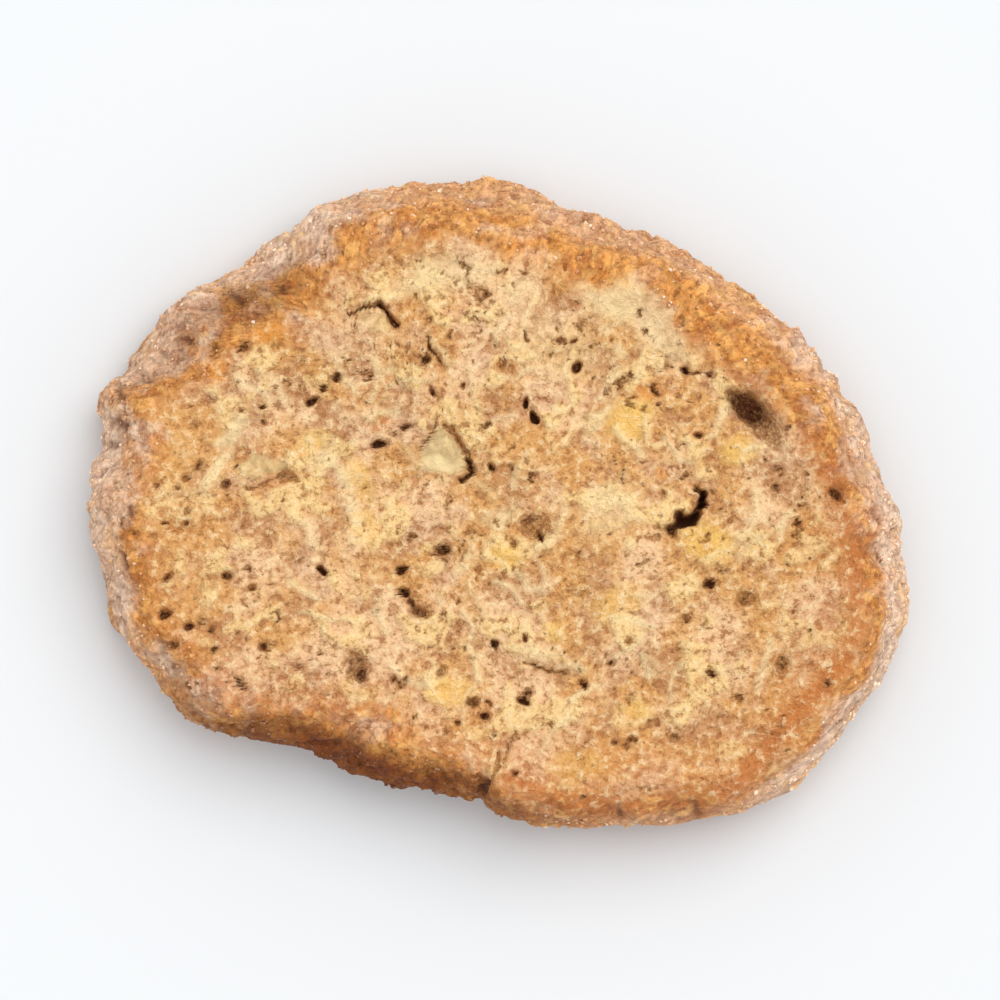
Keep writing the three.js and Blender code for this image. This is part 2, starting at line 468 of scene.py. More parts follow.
class Graph:
    """A material's node graph, with short calls for the nodes that the finishes use."""

    def __init__(self, name: str) -> None:
        """Starts a material with one surface shader.

        Args:
            name: Name of the material.
        """
        self.material = bpy.data.materials.new(name)
        self.material.use_nodes = True
        self.tree = self.material.node_tree
        self.tree.nodes.clear()
        self.shader = self.node("BsdfPrincipled")
        self.node("OutputMaterial", surface=self.shader.outputs["BSDF"])
        place = self.node("TexCoord").outputs["Object"]
        scaled = self.node("VectorMath", {"operation": "SCALE"}, vector=place, scale=1 / MM)
        self.millimetres = scaled.outputs["Vector"]

    def node(self, kind: str, options: dict[str, str] | None = None, **inputs: object) -> bpy.types.Node:
        """Adds a node, sets its options and fills its inputs.

        Args:
            kind: Kind of node, by the shader's own word for it.
            options: Words for the node's options, by the options' names.
            inputs: Output sockets, numbers or colours, by the inputs' names in small letters.

        Returns:
            The node.
        """
        made = self.tree.nodes.new("ShaderNode" + kind)
        for name, word in (options or {}).items():
            setattr(made, name, word)
        for name, value in inputs.items():
            self.feed(made.inputs[name.replace("_", " ").title()], value)
        return made

    def feed(self, socket: Socket, value: object) -> None:
        """Links a socket to another node's output, or sets its constant.

        Args:
            socket: Input to fill.
            value: Output socket, number or colour.
        """
        if isinstance(value, Socket):
            self.tree.links.new(value, socket)
        else:
            socket.default_value = value

    def dress(self, base: object, rough: object, shine: float) -> None:
        """Gives the surface its colour and gloss.

        Args:
            base: Colour.
            rough: Roughness, from 0 to 1.
            shine: Level of its shine.
        """
        self.feed(self.shader.inputs["Base Color"], base)
        self.feed(self.shader.inputs["Roughness"], rough)
        self.shader.inputs["Specular IOR Level"].default_value = shine

    def attribute(self, name: str) -> Socket:
        """Value of one of the mesh's own attributes."""
        return self.node("Attribute", {"attribute_name": name}).outputs["Fac"]

    def noise(self, per_mm: float, detail: float = 2.0, rough: float = 0.5, at: object = None) -> Socket:
        """Adds soft noise.

        Args:
            per_mm: Waves to a millimetre.
            detail: Number of finer layers.
            rough: Strength of the finer layers.
            at: Place to read it at, or None for the object's own millimetres.

        Returns:
            The noise, from 0 to 1.
        """
        place = self.millimetres if at is None else at
        node = self.node("TexNoise", scale=per_mm, detail=detail, roughness=rough, vector=place)
        return node.outputs["Fac"]

    def warped(self, per_mm: float, reach: float) -> Socket:
        """Shifts the object's millimetres by coloured noise.

        Args:
            per_mm: Waves of the shift to a millimetre.
            reach: Largest shift, in millimetres.

        Returns:
            The shifted place.
        """
        shift = self.node("TexNoise", scale=per_mm, vector=self.millimetres).outputs["Color"]
        moved = self.node("VectorMath", {"operation": "MULTIPLY_ADD"})
        for socket, value in zip(moved.inputs, (shift, (reach, reach, reach), self.millimetres)):
            self.feed(socket, value)
        return moved.outputs["Vector"]

    def cells(self, per_mm: float, at: object, flat: bool = False) -> tuple[Socket, Socket]:
        """Adds scattered cells.

        Args:
            per_mm: Cells to a millimetre.
            at: Place to read them at.
            flat: Whether the cells are the same at every height.

        Returns:
            The distance from a cell's middle, in cells, and a random value for each cell.
        """
        options = {"voronoi_dimensions": "2D" if flat else "3D"}
        node = self.node("TexVoronoi", options, scale=per_mm, vector=at)
        split = self.node("SeparateColor", color=node.outputs["Color"])
        return node.outputs["Distance"], split.outputs["Red"]

    def math(self, operation: str, first: object, second: object) -> Socket:
        """Works out one sum.

        Args:
            operation: Kind of sum, by the shader's own word for it.
            first: First value.
            second: Second value.

        Returns:
            The result.
        """
        node = self.node("Math", {"operation": operation})
        self.feed(node.inputs[0], first)
        self.feed(node.inputs[1], second)
        return node.outputs["Value"]

    def times(self, first: object, second: object) -> Socket:
        """Product of two values."""
        return self.math("MULTIPLY", first, second)

    def spread(
        self, value: object, low: float, high: float, to_low: float = 0.0, to_high: float = 1.0
    ) -> Socket:
        """Maps a range smoothly to another.

        Args:
            value: Value to map.
            low: Value that gives to_low.
            high: Value that gives to_high.
            to_low: Result at low.
            to_high: Result at high.

        Returns:
            The mapped value, held within the two results.
        """
        node = self.node(
            "MapRange",
            {"interpolation_type": "SMOOTHSTEP"},
            value=value,
            from_min=low,
            from_max=high,
            to_min=to_low,
            to_max=to_high,
        )
        return node.outputs["Result"]

    def specks(
        self, per_mm: float, share: float, size: float, at: object, ragged: object, flat: bool = True
    ) -> Socket:
        """Adds scattered small specks.

        Args:
            per_mm: Cells to a millimetre, each with one speck at most.
            share: Share of the cells that have one.
            size: Largest radius of a speck, in cells.
            at: Place to read them at.
            ragged: How far the specks' edges move out, in cells.
            flat: Whether the specks are the same at every height.

        Returns:
            1 in a speck and 0 outside, with soft edges.
        """
        distance, draw = self.cells(per_mm, at, flat)
        radius = self.spread(draw, 1 - share, 1.0, -0.2, size)
        inside = self.math("ADD", self.math("SUBTRACT", radius, distance), ragged)
        return self.spread(inside, -0.1, 0.16)

    def mix(self, amount: object, first: object, second: object, blend: Blend = Blend.OVER) -> Socket:
        """Mix of two colours, with the amount as the second one's share."""
        options = {"data_type": "RGBA", "blend_type": blend.value}
        return self.node("Mix", options, factor=amount, a=first, b=second).outputs["Result"]

    def shift(self, amount: object, first: object, second: object) -> Socket:
        """Value at a share of the way from the first value to the second."""
        return self.node("Mix", factor=amount, a=first, b=second).outputs["Result"]

    def bump(self, height: object, depth: float) -> None:
        """Gives the surface fine relief, with as many millimetres of depth for a height of 1."""
        node = self.node("Bump", strength=1.0, distance=depth * MM, height=height)
        self.feed(self.shader.inputs["Normal"], node.outputs["Normal"])


@dataclass(frozen=True)
class BakedFinish:
    """Porous crumb of the cut faces, and the browned sugared crust round them.

    The scales are waves, cells or specks to a millimetre. Pits, cracks, hollows and crust crevices are
    darkened with painted shade, and the near wall with painted shadow as well as real browning.
    """

    tan: Colour = colour(221, 162, 97)
    pink: Colour = colour(244, 198, 149)
    shade: Colour = colour(168, 110, 64)
    cream: Colour = colour(253, 222, 172)
    clump: Colour = colour(248, 208, 142)
    # Smudge and shade: real brown smudges in the crumb, and painted shade in the valleys beside the fibres.
    smudge_and_shade: Colour = colour(200, 144, 96)
    mauve: Colour = colour(220, 174, 136)
    golden: Colour = colour(250, 202, 110)
    pale: Colour = colour(255, 229, 174)
    toasted: Colour = colour(200, 118, 58)
    speck: Colour = colour(124, 76, 44)
    # Dent and pore shade are painted shade for the insides of pits, cracks and hollows: dent for shallow
    # ones, pore shade for deep ones.
    dent: Colour = colour(162, 110, 58)
    pore_shade: Colour = colour(92, 50, 25)
    flesh: Colour = colour(222, 194, 138)
    clear: Colour = colour(186, 160, 112)
    orange: Colour = colour(238, 156, 62)
    amber: Colour = colour(246, 168, 86)
    rosy: Colour = colour(252, 202, 162)
    rosy_light: Colour = colour(255, 223, 190)
    rosy_dark: Colour = colour(190, 136, 102)
    amber_light: Colour = colour(255, 194, 113)
    amber_dark: Colour = colour(186, 109, 44)
    frost: Colour = colour(255, 221, 194)
    # Speck brown and crevice shade: the crust's real dark specks, and painted shade in its crevices.
    speck_brown_and_crevice_shade: Colour = colour(112, 62, 32)
    # Browning and shade darkens the near wall: partly real browning, partly painted shadow.
    browning_and_shade: Colour = (0.31, 0.185, 0.085, 1.0)
    hue_scale: float = 0.16
    mauve_scale: float = 0.3
    grain_scale: float = 1.5
    fine_scale: float = 3.4
    flesh_scale: float = 0.9
    porous_scale: float = 0.24
    speck_scales: Span = (1.2, 2.2)
    blush_scale: float = 0.3
    baked_scale: float = 0.4
    crust_speck_scale: float = 1.5
    crystal_scale: float = 2.2
    tint_strength: float = 0.85
    speck_strength: float = 0.62
    crust_speck_strength: float = 0.5
    rough: Span = (0.88, 0.72)
    damp: float = 0.38
    shine: float = 0.25
    relief: float = 0.58

    def crumb(self, graph: Graph, ragged: Socket) -> tuple[Socket, Socket]:
        """Colours the crumb.

        Args:
            graph: Graph to add the nodes to.
            ragged: How far the specks' edges move out, in cells.

        Returns:
            The crumb's colour and the height of its grain.
        """
        torn = graph.warped(3.0, 0.45)
        clumps = graph.attribute("clump")
        base = graph.mix(graph.spread(graph.noise(self.hue_scale), 0.4, 0.6), self.tan, self.pink)
        mauve = graph.noise(self.mauve_scale, rough=0.6)
        base = graph.mix(graph.spread(mauve, 0.5, 0.66, 0.0, 0.6), base, self.mauve)
        base = graph.mix(graph.times(graph.attribute("smudge_and_shade"), self.tint_strength), base, self.smudge_and_shade)
        base = graph.mix(graph.times(clumps, self.tint_strength), base, self.clump)
        grain = graph.noise(self.grain_scale, 3.0, 0.66, torn)
        base = graph.mix(graph.spread(grain, 0.52, 0.3, 0.0, 0.9), base, self.shade)
        apple = graph.attribute("apple")
        streaks = graph.noise(self.flesh_scale, 3.0, 0.6, graph.warped(0.5, 0.8))
        base = graph.mix(apple, base, graph.mix(graph.spread(streaks, 0.38, 0.62), self.flesh, self.clear))
        for tint, tinted in zip(Tint, (self.golden, self.pale, self.toasted, self.orange)):
            base = graph.mix(graph.times(graph.attribute(tint.value), self.tint_strength), base, tinted)
        whole = graph.spread(apple, 0.0, 1.0, 1.0, 0.3)
        cream = graph.times(graph.spread(grain, 0.5, 0.68, 0.0, 0.66), whole)
        base = graph.mix(cream, base, self.cream)
        porous = graph.spread(graph.noise(self.porous_scale, 3.0, 0.6), 0.42, 0.6, 0.2, 1.0)
        porous = graph.math("SUBTRACT", porous, graph.times(clumps, 0.5))
        coarse, fine = self.speck_scales
        specks = graph.specks(coarse, 0.26, 0.22, torn, ragged)
        specks = graph.math("MAXIMUM", specks, graph.specks(fine, 0.26, 0.26, torn, ragged))
        specks = graph.times(graph.times(specks, porous), whole)
        base = graph.mix(graph.times(specks, self.speck_strength), base, self.speck)
        return base, graph.times(grain, whole)

    def crust(self, graph: Graph, ragged: Socket) -> tuple[Socket, Socket]:
        """Colours the crust.

        Args:
            graph: Graph to add the nodes to.
            ragged: How far the specks' edges move out, in cells.

        Returns:
            The crust's colour and the height of its grain.
        """
        torn = graph.warped(2.0, 0.35)
        pebble = graph.attribute("pebble")
        drift = graph.spread(graph.noise(self.blush_scale, rough=0.55), 0.3, 0.7, -0.72, 0.72)
        blush = graph.spread(graph.math("ADD", graph.attribute("rosy"), drift), -0.2, 0.9)
        base = graph.mix(blush, self.amber, self.rosy)
        light = graph.mix(blush, self.amber_light, self.rosy_light)
        dark = graph.mix(blush, self.amber_dark, self.rosy_dark)
        baked = graph.noise(self.baked_scale, 3.0, 0.6, graph.warped(0.7, 1.2))
        base = graph.mix(graph.spread(baked, 0.54, 0.68, 0.0, 0.7), base, self.toasted)
        frost = graph.attribute("frost")
        base = graph.mix(frost, base, self.frost)
        base = graph.mix(graph.attribute("toasted"), base, self.toasted)
        shown = graph.spread(frost, 0.0, 1.0, 1.0, 0.42)
        base = graph.mix(graph.spread(pebble, 0.55, 1.0, 0.0, 0.62), base, light)
        base = graph.mix(graph.times(graph.spread(pebble, 0.4, 0.0, 0.0, 0.58), shown), base, dark)
        grain = graph.noise(self.grain_scale, 3.0, 0.66, torn)
        base = graph.mix(graph.times(graph.spread(grain, 0.5, 0.3, 0.0, 0.85), shown), base, dark)
        base = graph.mix(graph.spread(grain, 0.52, 0.68, 0.0, 0.64), base, light)
        specks = graph.specks(self.crust_speck_scale, 0.42, 0.34, torn, ragged, flat=False)
        specks = graph.times(graph.times(specks, self.crust_speck_strength), shown)
        base = graph.mix(specks, base, self.speck_brown_and_crevice_shade)
        # Painted shade in the crust's folds, gaps between pebbles and clefts.
        base = graph.mix(graph.attribute("crevice_shade"), base, self.speck_brown_and_crevice_shade)
        # Dark knobs and near wall darkened: real browning, with painted shadow on the near wall.
        base = graph.mix(graph.attribute("browned_and_shaded"), base, self.browning_and_shade, Blend.MULTIPLY)
        distance, _ = graph.cells(self.crystal_scale, torn)
        return base, graph.math("SUBTRACT", grain, graph.times(distance, 0.5))

    def material(self) -> bpy.types.Material:
        """Makes the finish.

        Returns:
            The finished material.
        """
        graph = Graph("baked_crumb_and_crust")
        fine = graph.noise(self.fine_scale, 3.0, 0.7)
        ragged = graph.spread(fine, 0.3, 0.7, -0.16, 0.16)
        crumb, crumb_height = self.crumb(graph, ragged)
        crust, crust_height = self.crust(graph, ragged)
        where = graph.attribute("crust")
        base = graph.mix(where, crumb, crust)
        # Painted shade inside pits, cracks and hollows, with frayed edges: dent colour where shallow, pore
        # shade where deep.
        hollow = graph.attribute("hollow")
        frayed = graph.times(graph.spread(fine, 0.3, 0.7, -0.22, 0.22), graph.spread(hollow, 0.03, 0.35))
        hollow = graph.math("ADD", hollow, frayed)
        base = graph.mix(graph.spread(hollow, 0.12, 0.5, 0.0, 0.75), base, self.dent)
        base = graph.mix(graph.spread(hollow, 0.45, 0.9), base, self.pore_shade)
        damp = graph.times(graph.attribute("apple"), self.damp)
        rough = graph.math("SUBTRACT", graph.spread(where, 0.0, 1.0, *self.rough), damp)
        graph.dress(base, rough, self.shine)
        graph.bump(graph.shift(where, crumb_height, crust_height), self.relief)
        return graph.material


@dataclass(frozen=True)
class SugarFinish:
    """Sugar crystals baked onto the crust, from brown to clear."""

    # Burnt and shaded darkens grains with the near wall: partly real browning, partly painted shadow.
    burnt_and_shaded: Colour = colour(122, 66, 28)
    brown: Colour = colour(206, 142, 88)
    tawny: Colour = colour(236, 190, 142)
    clear: Colour = colour(250, 226, 196)
    cloud_scale: float = 3.0
    rough: Span = (0.25, 0.5)
    shine: float = 0.55

    def material(self) -> bpy.types.Material:
        """Makes the finish.

        Returns:
            The finished material.
        """
        graph = Graph("baked_sugar")
        cloudy = graph.noise(self.cloud_scale)
        draw = graph.math("ADD", graph.attribute("shade"), graph.spread(cloudy, 0.3, 0.7, -0.12, 0.12))
        base = graph.mix(graph.spread(draw, 0.0, 0.6), self.brown, self.tawny)
        base = graph.mix(graph.spread(draw, 0.7, 1.0), base, self.clear)
        base = graph.mix(graph.attribute("browned_and_shaded"), base, self.burnt_and_shaded)
        graph.dress(base, graph.spread(cloudy, 0.3, 0.7, *self.rough), self.shine)
        return graph.material


@dataclass(frozen=True)
class FloorFinish:
    """Plain white tabletop, with painted shade that makes it a little darker far off."""

    white: Colour = (0.755, 0.76, 0.765, 1.0)
    faint: Colour = (0.745, 0.752, 0.76, 1.0)
    # Painted shade: the tabletop darkens far off to meet the surround.
    painted_far_shade: Colour = (0.7, 0.705, 0.71, 1.0)
    far_off: Span = (300.0, 2500.0)
    cloud_scale: float = 0.01
    rough: float = 0.8
    shine: float = 0.2

    def material(self) -> bpy.types.Material:
        """Makes the finish.

        Returns:
            The finished material.
        """
        graph = Graph("white_tabletop")
        base = graph.mix(graph.noise(self.cloud_scale), self.white, self.faint)
        away = graph.node("VectorMath", {"operation": "LENGTH"}, vector=graph.millimetres).outputs["Value"]
        # Painted shade, darker far off.
        base = graph.mix(graph.spread(away, *self.far_off), base, self.painted_far_shade)
        graph.dress(base, self.rough, self.shine)
        return graph.material


def place_piece(name: str, mesh: bpy.types.Mesh, material: bpy.types.Material) -> bpy.types.Object:
    """Puts a finished mesh into the scene.

    Args:
        name: Name of the piece.
        mesh: Its mesh, in metres in the frame.
        material: Its finish.

    Returns:
        The piece, which rides with the biscuit.
    """
    mesh.materials.append(material)
    piece = bpy.data.objects.new(name, mesh)
    bpy.context.scene.collection.objects.link(piece)
    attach(piece, "root")
    return piece


@dataclass(frozen=True)
class FaceMarks:
    """Marks that stand where they are seen in the upper face.

    Places, widths and depths are in millimetres, and edges are shares of a mark's own size. A floor or a
    dark is its start and its gain for each millimetre of depth; a dark is the painted shade that a mark
    takes.
    """

    shift: float = 0.35
    bump_span: float = 1.1
    streak_pale: float = 0.75
    streak_broken: Span = (-0.6, 0.4)
    hollow_floor: Span = (0.2, 0.3)
    widest_floor: float = 0.65
    hollow_edge: float = 1.15
    hollow_dark: Span = (0.2, 0.6)
    die_edge: Span = (-0.12, 0.22)
    die_uneven: float = 0.06
    crack_ragged: Span = (0.9, 0.5)
    crack_least: float = 0.05
    crack_edge: Span = (0.4, 1.25)
    crack_dark: Span = (0.25, 0.5)
    cleft_edge: Span = (0.3, 1.4)
    cleft_heights: Span = (4.2, 7.0)
    cleft_ragged: float = 0.8
    cleft_dark: float = 0.85
    patch_edge: Span = (0.45, 1.15)
    # Hollows sink by their depth and take painted shade, darker where deeper.
    hollows: tuple[Oval, ...] = (
        Oval(21.0, 5.0, 4.0, 2.3, -52, 0.45),
        Oval(20.4, 5.9, 5.0, 2.7, -50, 0.55),
        Oval(19.8, 6.7, 5.0, 2.7, -46, 0.7),
        Oval(19.3, 7.3, 3.8, 2.3, -40, 1.05),
        Oval(18.2, 8.1, 1.9, 1.3, -25, 0.55),
        Oval(14.6, -1.5, 2.5, 1.2, 25, 1.6),
        Oval(14.0, -1.2, 1.1, 1.0, 0, 1.2),
        Oval(13.3, -2.4, 1.5, 0.9, -50, 0.9),
        Oval(12.3, -2.05, 1.2, 0.6, 0, 0.45),
        Oval(15.75, -0.25, 1.0, 0.7, 30, 1.5),
        Oval(15.8, 0.5, 0.9, 0.7, 80, 1.5),
        Oval(15.2, 0.95, 0.5, 0.6, 0, 1.0),
        Oval(19.1, -7.6, 2.2, 1.9, 20, 0.55),
        Oval(18.7, -7.9, 0.9, 0.7, 20, 0.5),
        Oval(16.2, -6.5, 1.2, 0.9, 0, 1.1),
        Oval(-11.1, -12.9, 3.6, 2.5, 75, 0.6),
        Oval(-10.8, -13.7, 1.5, 0.9, 80, 0.9),
        Oval(2.6, -2.0, 3.4, 2.4, 20, 0.5),
        Oval(3.1, -2.9, 1.3, 0.6, -60, 1.0),
        Oval(2.3, -1.6, 1.6, 0.5, 15, 0.7),
        Oval(-4.5, -3.8, 1.5, 1.1, 20, 1.0),
        Oval(-7.7, -5.4, 1.1, 0.9, 60, 1.2),
        Oval(-13.8, -5.5, 1.2, 0.7, -40, 1.3),
        Oval(-26.0, -8.9, 1.1, 0.9, 0, 1.0),
        Oval(-24.2, -9.8, 1.0, 0.8, 0, 1.0),
        Oval(-25.4, -11.2, 1.5, 0.9, -10, 1.1),
        Oval(-18.3, -11.4, 1.1, 0.9, 30, 1.0),
        Oval(-20.2, -14.2, 1.8, 0.6, -35, 0.7),
        Oval(-21.2, -5.8, 1.0, 0.8, 0, 0.9),
        Oval(1.8, -15.7, 1.4, 0.7, -30, 1.2),
        Oval(-1.2, -16.7, 0.9, 0.8, 0, 1.0),
        Oval(-3.3, -17.2, 0.7, 0.6, 0, 0.7),
        Oval(16.4, -13.5, 1.2, 0.8, -30, 1.0),
        Oval(21.8, -12.7, 2.0, 1.2, 80, 0.7),
        Oval(13.5, -18.5, 1.4, 1.1, 0, 0.6),
        Oval(26.0, 0.4, 1.5, 1.0, -50, 1.0),
        Oval(2.7, 6.4, 1.3, 0.8, -50, 1.4),
        Oval(2.1, 7.6, 1.2, 0.5, 75, 1.1),
        Oval(5.95, 10.4, 1.2, 0.8, 70, 1.1),
        Oval(5.7, 12.4, 1.0, 0.5, 30, 0.8),
        Oval(0.6, 10.2, 1.9, 1.3, -20, 0.35),
        Oval(0.3, 10.5, 0.7, 0.4, 20, 0.6),
        Oval(-2.9, 8.9, 0.8, 0.5, 80, 0.8),
        Oval(5.1, 18.2, 1.2, 0.5, 80, 0.8),
        Oval(-23.4, 2.6, 1.1, 0.8, 40, 0.8),
        Oval(-24.4, 1.7, 0.9, 0.6, 20, 0.7),
        Oval(-24.9, 0.9, 0.8, 0.5, 0, 0.7),
        Oval(-26.7, 1.1, 0.6, 0.5, 0, 0.7),
        Oval(-21.3, 1.3, 1.0, 0.8, 20, 0.9),
        Oval(-20.4, 2.7, 0.5, 0.5, 0, 0.9),
        Oval(-20.0, 7.0, 0.6, 0.5, 0, 0.8),
        Oval(-18.4, 7.3, 0.7, 0.6, 0, 0.9),
        Oval(-18.2, 6.1, 0.7, 0.8, 0, 0.8),
        Oval(-22.2, 11.9, 0.8, 1.2, 20, 0.9),
        Oval(-18.6, 1.1, 2.6, 0.8, 16, 0.3),
        Oval(-16.7, 1.75, 2.2, 1.1, 20, 0.4),
        Oval(-26.0, -1.9, 0.6, 0.6, 0, 0.9),
        Oval(-24.3, -1.8, 0.6, 0.6, 0, 0.9),
        Oval(-25.8, -6.1, 0.8, 1.1, 0, 0.8),
        Oval(-19.2, -6.8, 0.7, 0.7, 0, 0.8),
        Oval(25.6, 4.9, 0.7, 0.5, -40, 0.7),
        Oval(28.6, -4.0, 0.6, 0.8, 0, 0.8),
        Oval(15.3, 5.2, 0.7, 0.5, 0, 0.9),
        Oval(6.1, -7.2, 1.9, 1.0, 10, 0.4),
        Oval(8.6, -12.7, 0.7, 0.7, 0, 0.9),
        Oval(-0.4, -11.1, 0.8, 0.7, -40, 1.0),
        Oval(1.9, -10.8, 0.6, 1.0, 0, 0.8),
        Oval(6.4, -14.3, 1.0, 0.6, -45, 1.0),
        Oval(8.8, -18.9, 0.8, 0.5, 20, 0.7),
        Oval(10.5, -18.6, 0.6, 0.5, 0, 0.8),
        Oval(25.3, -14.2, 0.7, 0.7, 0, 0.8),
        Oval(-12.8, 9.6, 0.9, 0.6, 60, 1.0),
        Oval(-13.7, 8.8, 0.9, 0.6, 50, 1.0),
        Oval(-14.7, 7.7, 1.3, 0.7, 45, 1.1),
        Oval(-5.8, 11.0, 1.0, 0.7, 0, 1.0),
        Oval(-5.3, 8.5, 1.0, 0.5, -60, 0.9),
        Oval(-9.4, 4.4, 1.5, 0.6, 12, 1.2),
        Oval(-0.6, 2.6, 1.0, 0.5, -60, 1.0),
        Oval(1.1, -21.2, 0.8, 0.6, 0, 0.8),
        Oval(14.4, 10.2, 1.0, 0.7, -20, 1.1),
        Oval(15.3, 9.9, 0.9, 0.4, 0, 0.8),
        Oval(16.2, 9.8, 0.7, 0.5, 10, 0.9),
        Oval(-7.4, -7.1, 1.1, 0.8, -40, 1.1),
        Oval(-6.9, -8.0, 1.0, 0.6, -60, 0.9),
        Oval(-6.2, -8.7, 2.2, 1.1, -12, 0.8),
        Oval(-7.4, 5.7, 1.0, 0.45, 35, 0.9),
        Oval(-8.2, 5.1, 0.7, 0.4, 40, 0.6),
    )
    # Cracks are darkened with painted shade by their depth.
    cracks: tuple[Crack, ...] = (
        Crack(((13.3, -2.3), (14.6, -1.6), (15.6, -0.5), (15.8, 0.5)), 0.24, 1.2),
        Crack(((-2.3, 3.0), (-2.1, 2.2), (-2.9, 1.55)), 0.21, 1.2),
        Crack(((-4.4, 6.0), (-3.4, 4.9), (-2.4, 3.6)), 0.2, 0.6),
        Crack(((-6.2, 4.0), (-4.9, 6.1)), 0.18, 0.45),
        Crack(((-11.8, 14.6), (-10.5, 15.2), (-9.2, 15.2)), 0.2, 0.9),
        Crack(((-9.2, 15.2), (-8.6, 14.3), (-7.9, 13.6)), 0.22, 1.1),
        Crack(((-5.7, 12.8), (-5.4, 11.7), (-4.7, 10.9)), 0.18, 0.8),
        Crack(((-0.1, -19.5), (0.0, -20.6), (-0.6, -21.6), (-1.5, -22.7)), 0.17, 0.5),
        Crack(((-3.5, 19.0), (-2.9, 18.0), (-2.5, 17.1), (-1.5, 16.5), (-0.8, 16.0)), 0.15, 0.28),
        Crack(((2.0, -12.7), (3.6, -13.1), (5.2, -13.6)), 0.16, 0.5),
        Crack(((0.3, -20.6), (0.6, -19.0), (1.3, -17.8)), 0.14, 0.35),
        Crack(((9.5, 2.2), (9.4, 1.2)), 0.16, 0.5),
        # These two draw the painted shadow line under the pale apple slab.
        Crack(((-19.7, 0.95), (-18.6, 1.3), (-17.6, 1.75), (-16.7, 2.35)), 0.26, 0.45),
        Crack(((-17.0, 1.9), (-16.3, 1.8), (-15.7, 1.6)), 0.3, 0.4),
    )
    bumps: tuple[Oval, ...] = (
        Oval(-9.4, 13.4, 4.6, 2.4, -28, 0.3),
        Oval(16.0, -3.6, 4.6, 3.2, -20, 0.4),
        Oval(10.4, 7.0, 4.8, 3.4, 55, 0.3),
        Oval(18.5, 3.6, 2.6, 2.0, 10, 0.2),
        Oval(18.3, -6.0, 3.0, 1.2, -35, 0.3),
        Oval(-3.4, -20.2, 6.5, 2.8, -18, 0.5),
    )
    # Clefts are dented into the crust and darkened with painted shade.
    clefts: tuple[Crack, ...] = (
        Crack(((-21.3, 17.0), (-20.3, 15.9)), 0.5, 0.3),
        Crack(((-17.1, 16.6), (-16.8, 16.3)), 0.3, 0.25),
        Crack(((-24.6, 12.9), (-24.2, 12.4)), 0.3, 0.2),
        Crack(((-26.6, 12.0), (-26.2, 11.6)), 0.3, 0.2),
        Crack(((-28.4, 10.6), (-27.4, 9.6)), 0.4, 0.2),
        Crack(((-29.9, 9.5), (-29.6, 8.0)), 0.3, 0.3),
        Crack(((-30.0, 6.4), (-29.4, 5.7)), 0.4, 0.35),
        Crack(((-31.6, 5.2), (-30.0, 4.5)), 0.35, 0.35),
        Crack(((-28.8, -0.8), (-28.5, -1.3)), 0.35, 0.35),
        Crack(((-29.2, -4.4), (-29.0, -5.2)), 0.35, 0.35),
        Crack(((-0.6, -18.4), (-0.4, -20.0), (-0.9, -21.6), (-1.8, -23.4)), 0.3, 0.4),
        Crack(((9.2, -23.5), (9.4, -24.4)), 0.3, 0.12),
        Crack(((15.1, -23.5), (15.4, -24.4)), 0.3, 0.12),
    )
    dice: tuple[Die, ...] = (
        Die(
            ((-4.8, 6.0), (-6.3, 3.6), (-5.6, 2.3), (-3.6, 1.9), (-2.6, 2.3), (-2.3, 3.2)),
            rise=0.05,
            slope=(0.1, 0.08),
            strength=0.85,
        ),
        Die(
            ((-11.0, 14.3), (-10.2, 12.9), (-8.6, 12.8), (-8.1, 13.6), (-9.0, 14.9)),
            rise=0.15,
            slope=(0.0, -0.1),
            strength=0.5,
        ),
        Die(
            ((-20.6, 2.6), (-19.4, 1.5), (-16.4, 2.4), (-16.6, 3.0), (-19.0, 3.7)),
            rise=0.35,
            slope=(0.0, -0.1),
            strength=0.65,
        ),
    )
    streaks: tuple[Crack, ...] = (
        Crack(((-22.7, 0.8), (-21.3, 3.4), (-19.9, 6.4)), 0.55, 0.4),
        Crack(((-14.6, 4.2), (-12.4, 2.4), (-11.4, -0.4), (-11.0, -3.0)), 0.8, 0.3),
        Crack(((-3.2, -5.2), (-0.4, -2.2), (0.8, -0.6)), 0.7, 0.25),
        Crack(((-6.6, 16.8), (-3.8, 17.4), (-0.4, 18.0)), 0.6, 0.2),
        Crack(((7.4, 5.2), (8.6, 8.4), (9.4, 12.0)), 0.7, 0.2),
        Crack(((1.6, -11.4), (3.4, -12.2), (6.4, -12.8)), 0.6, 0.25),
    )
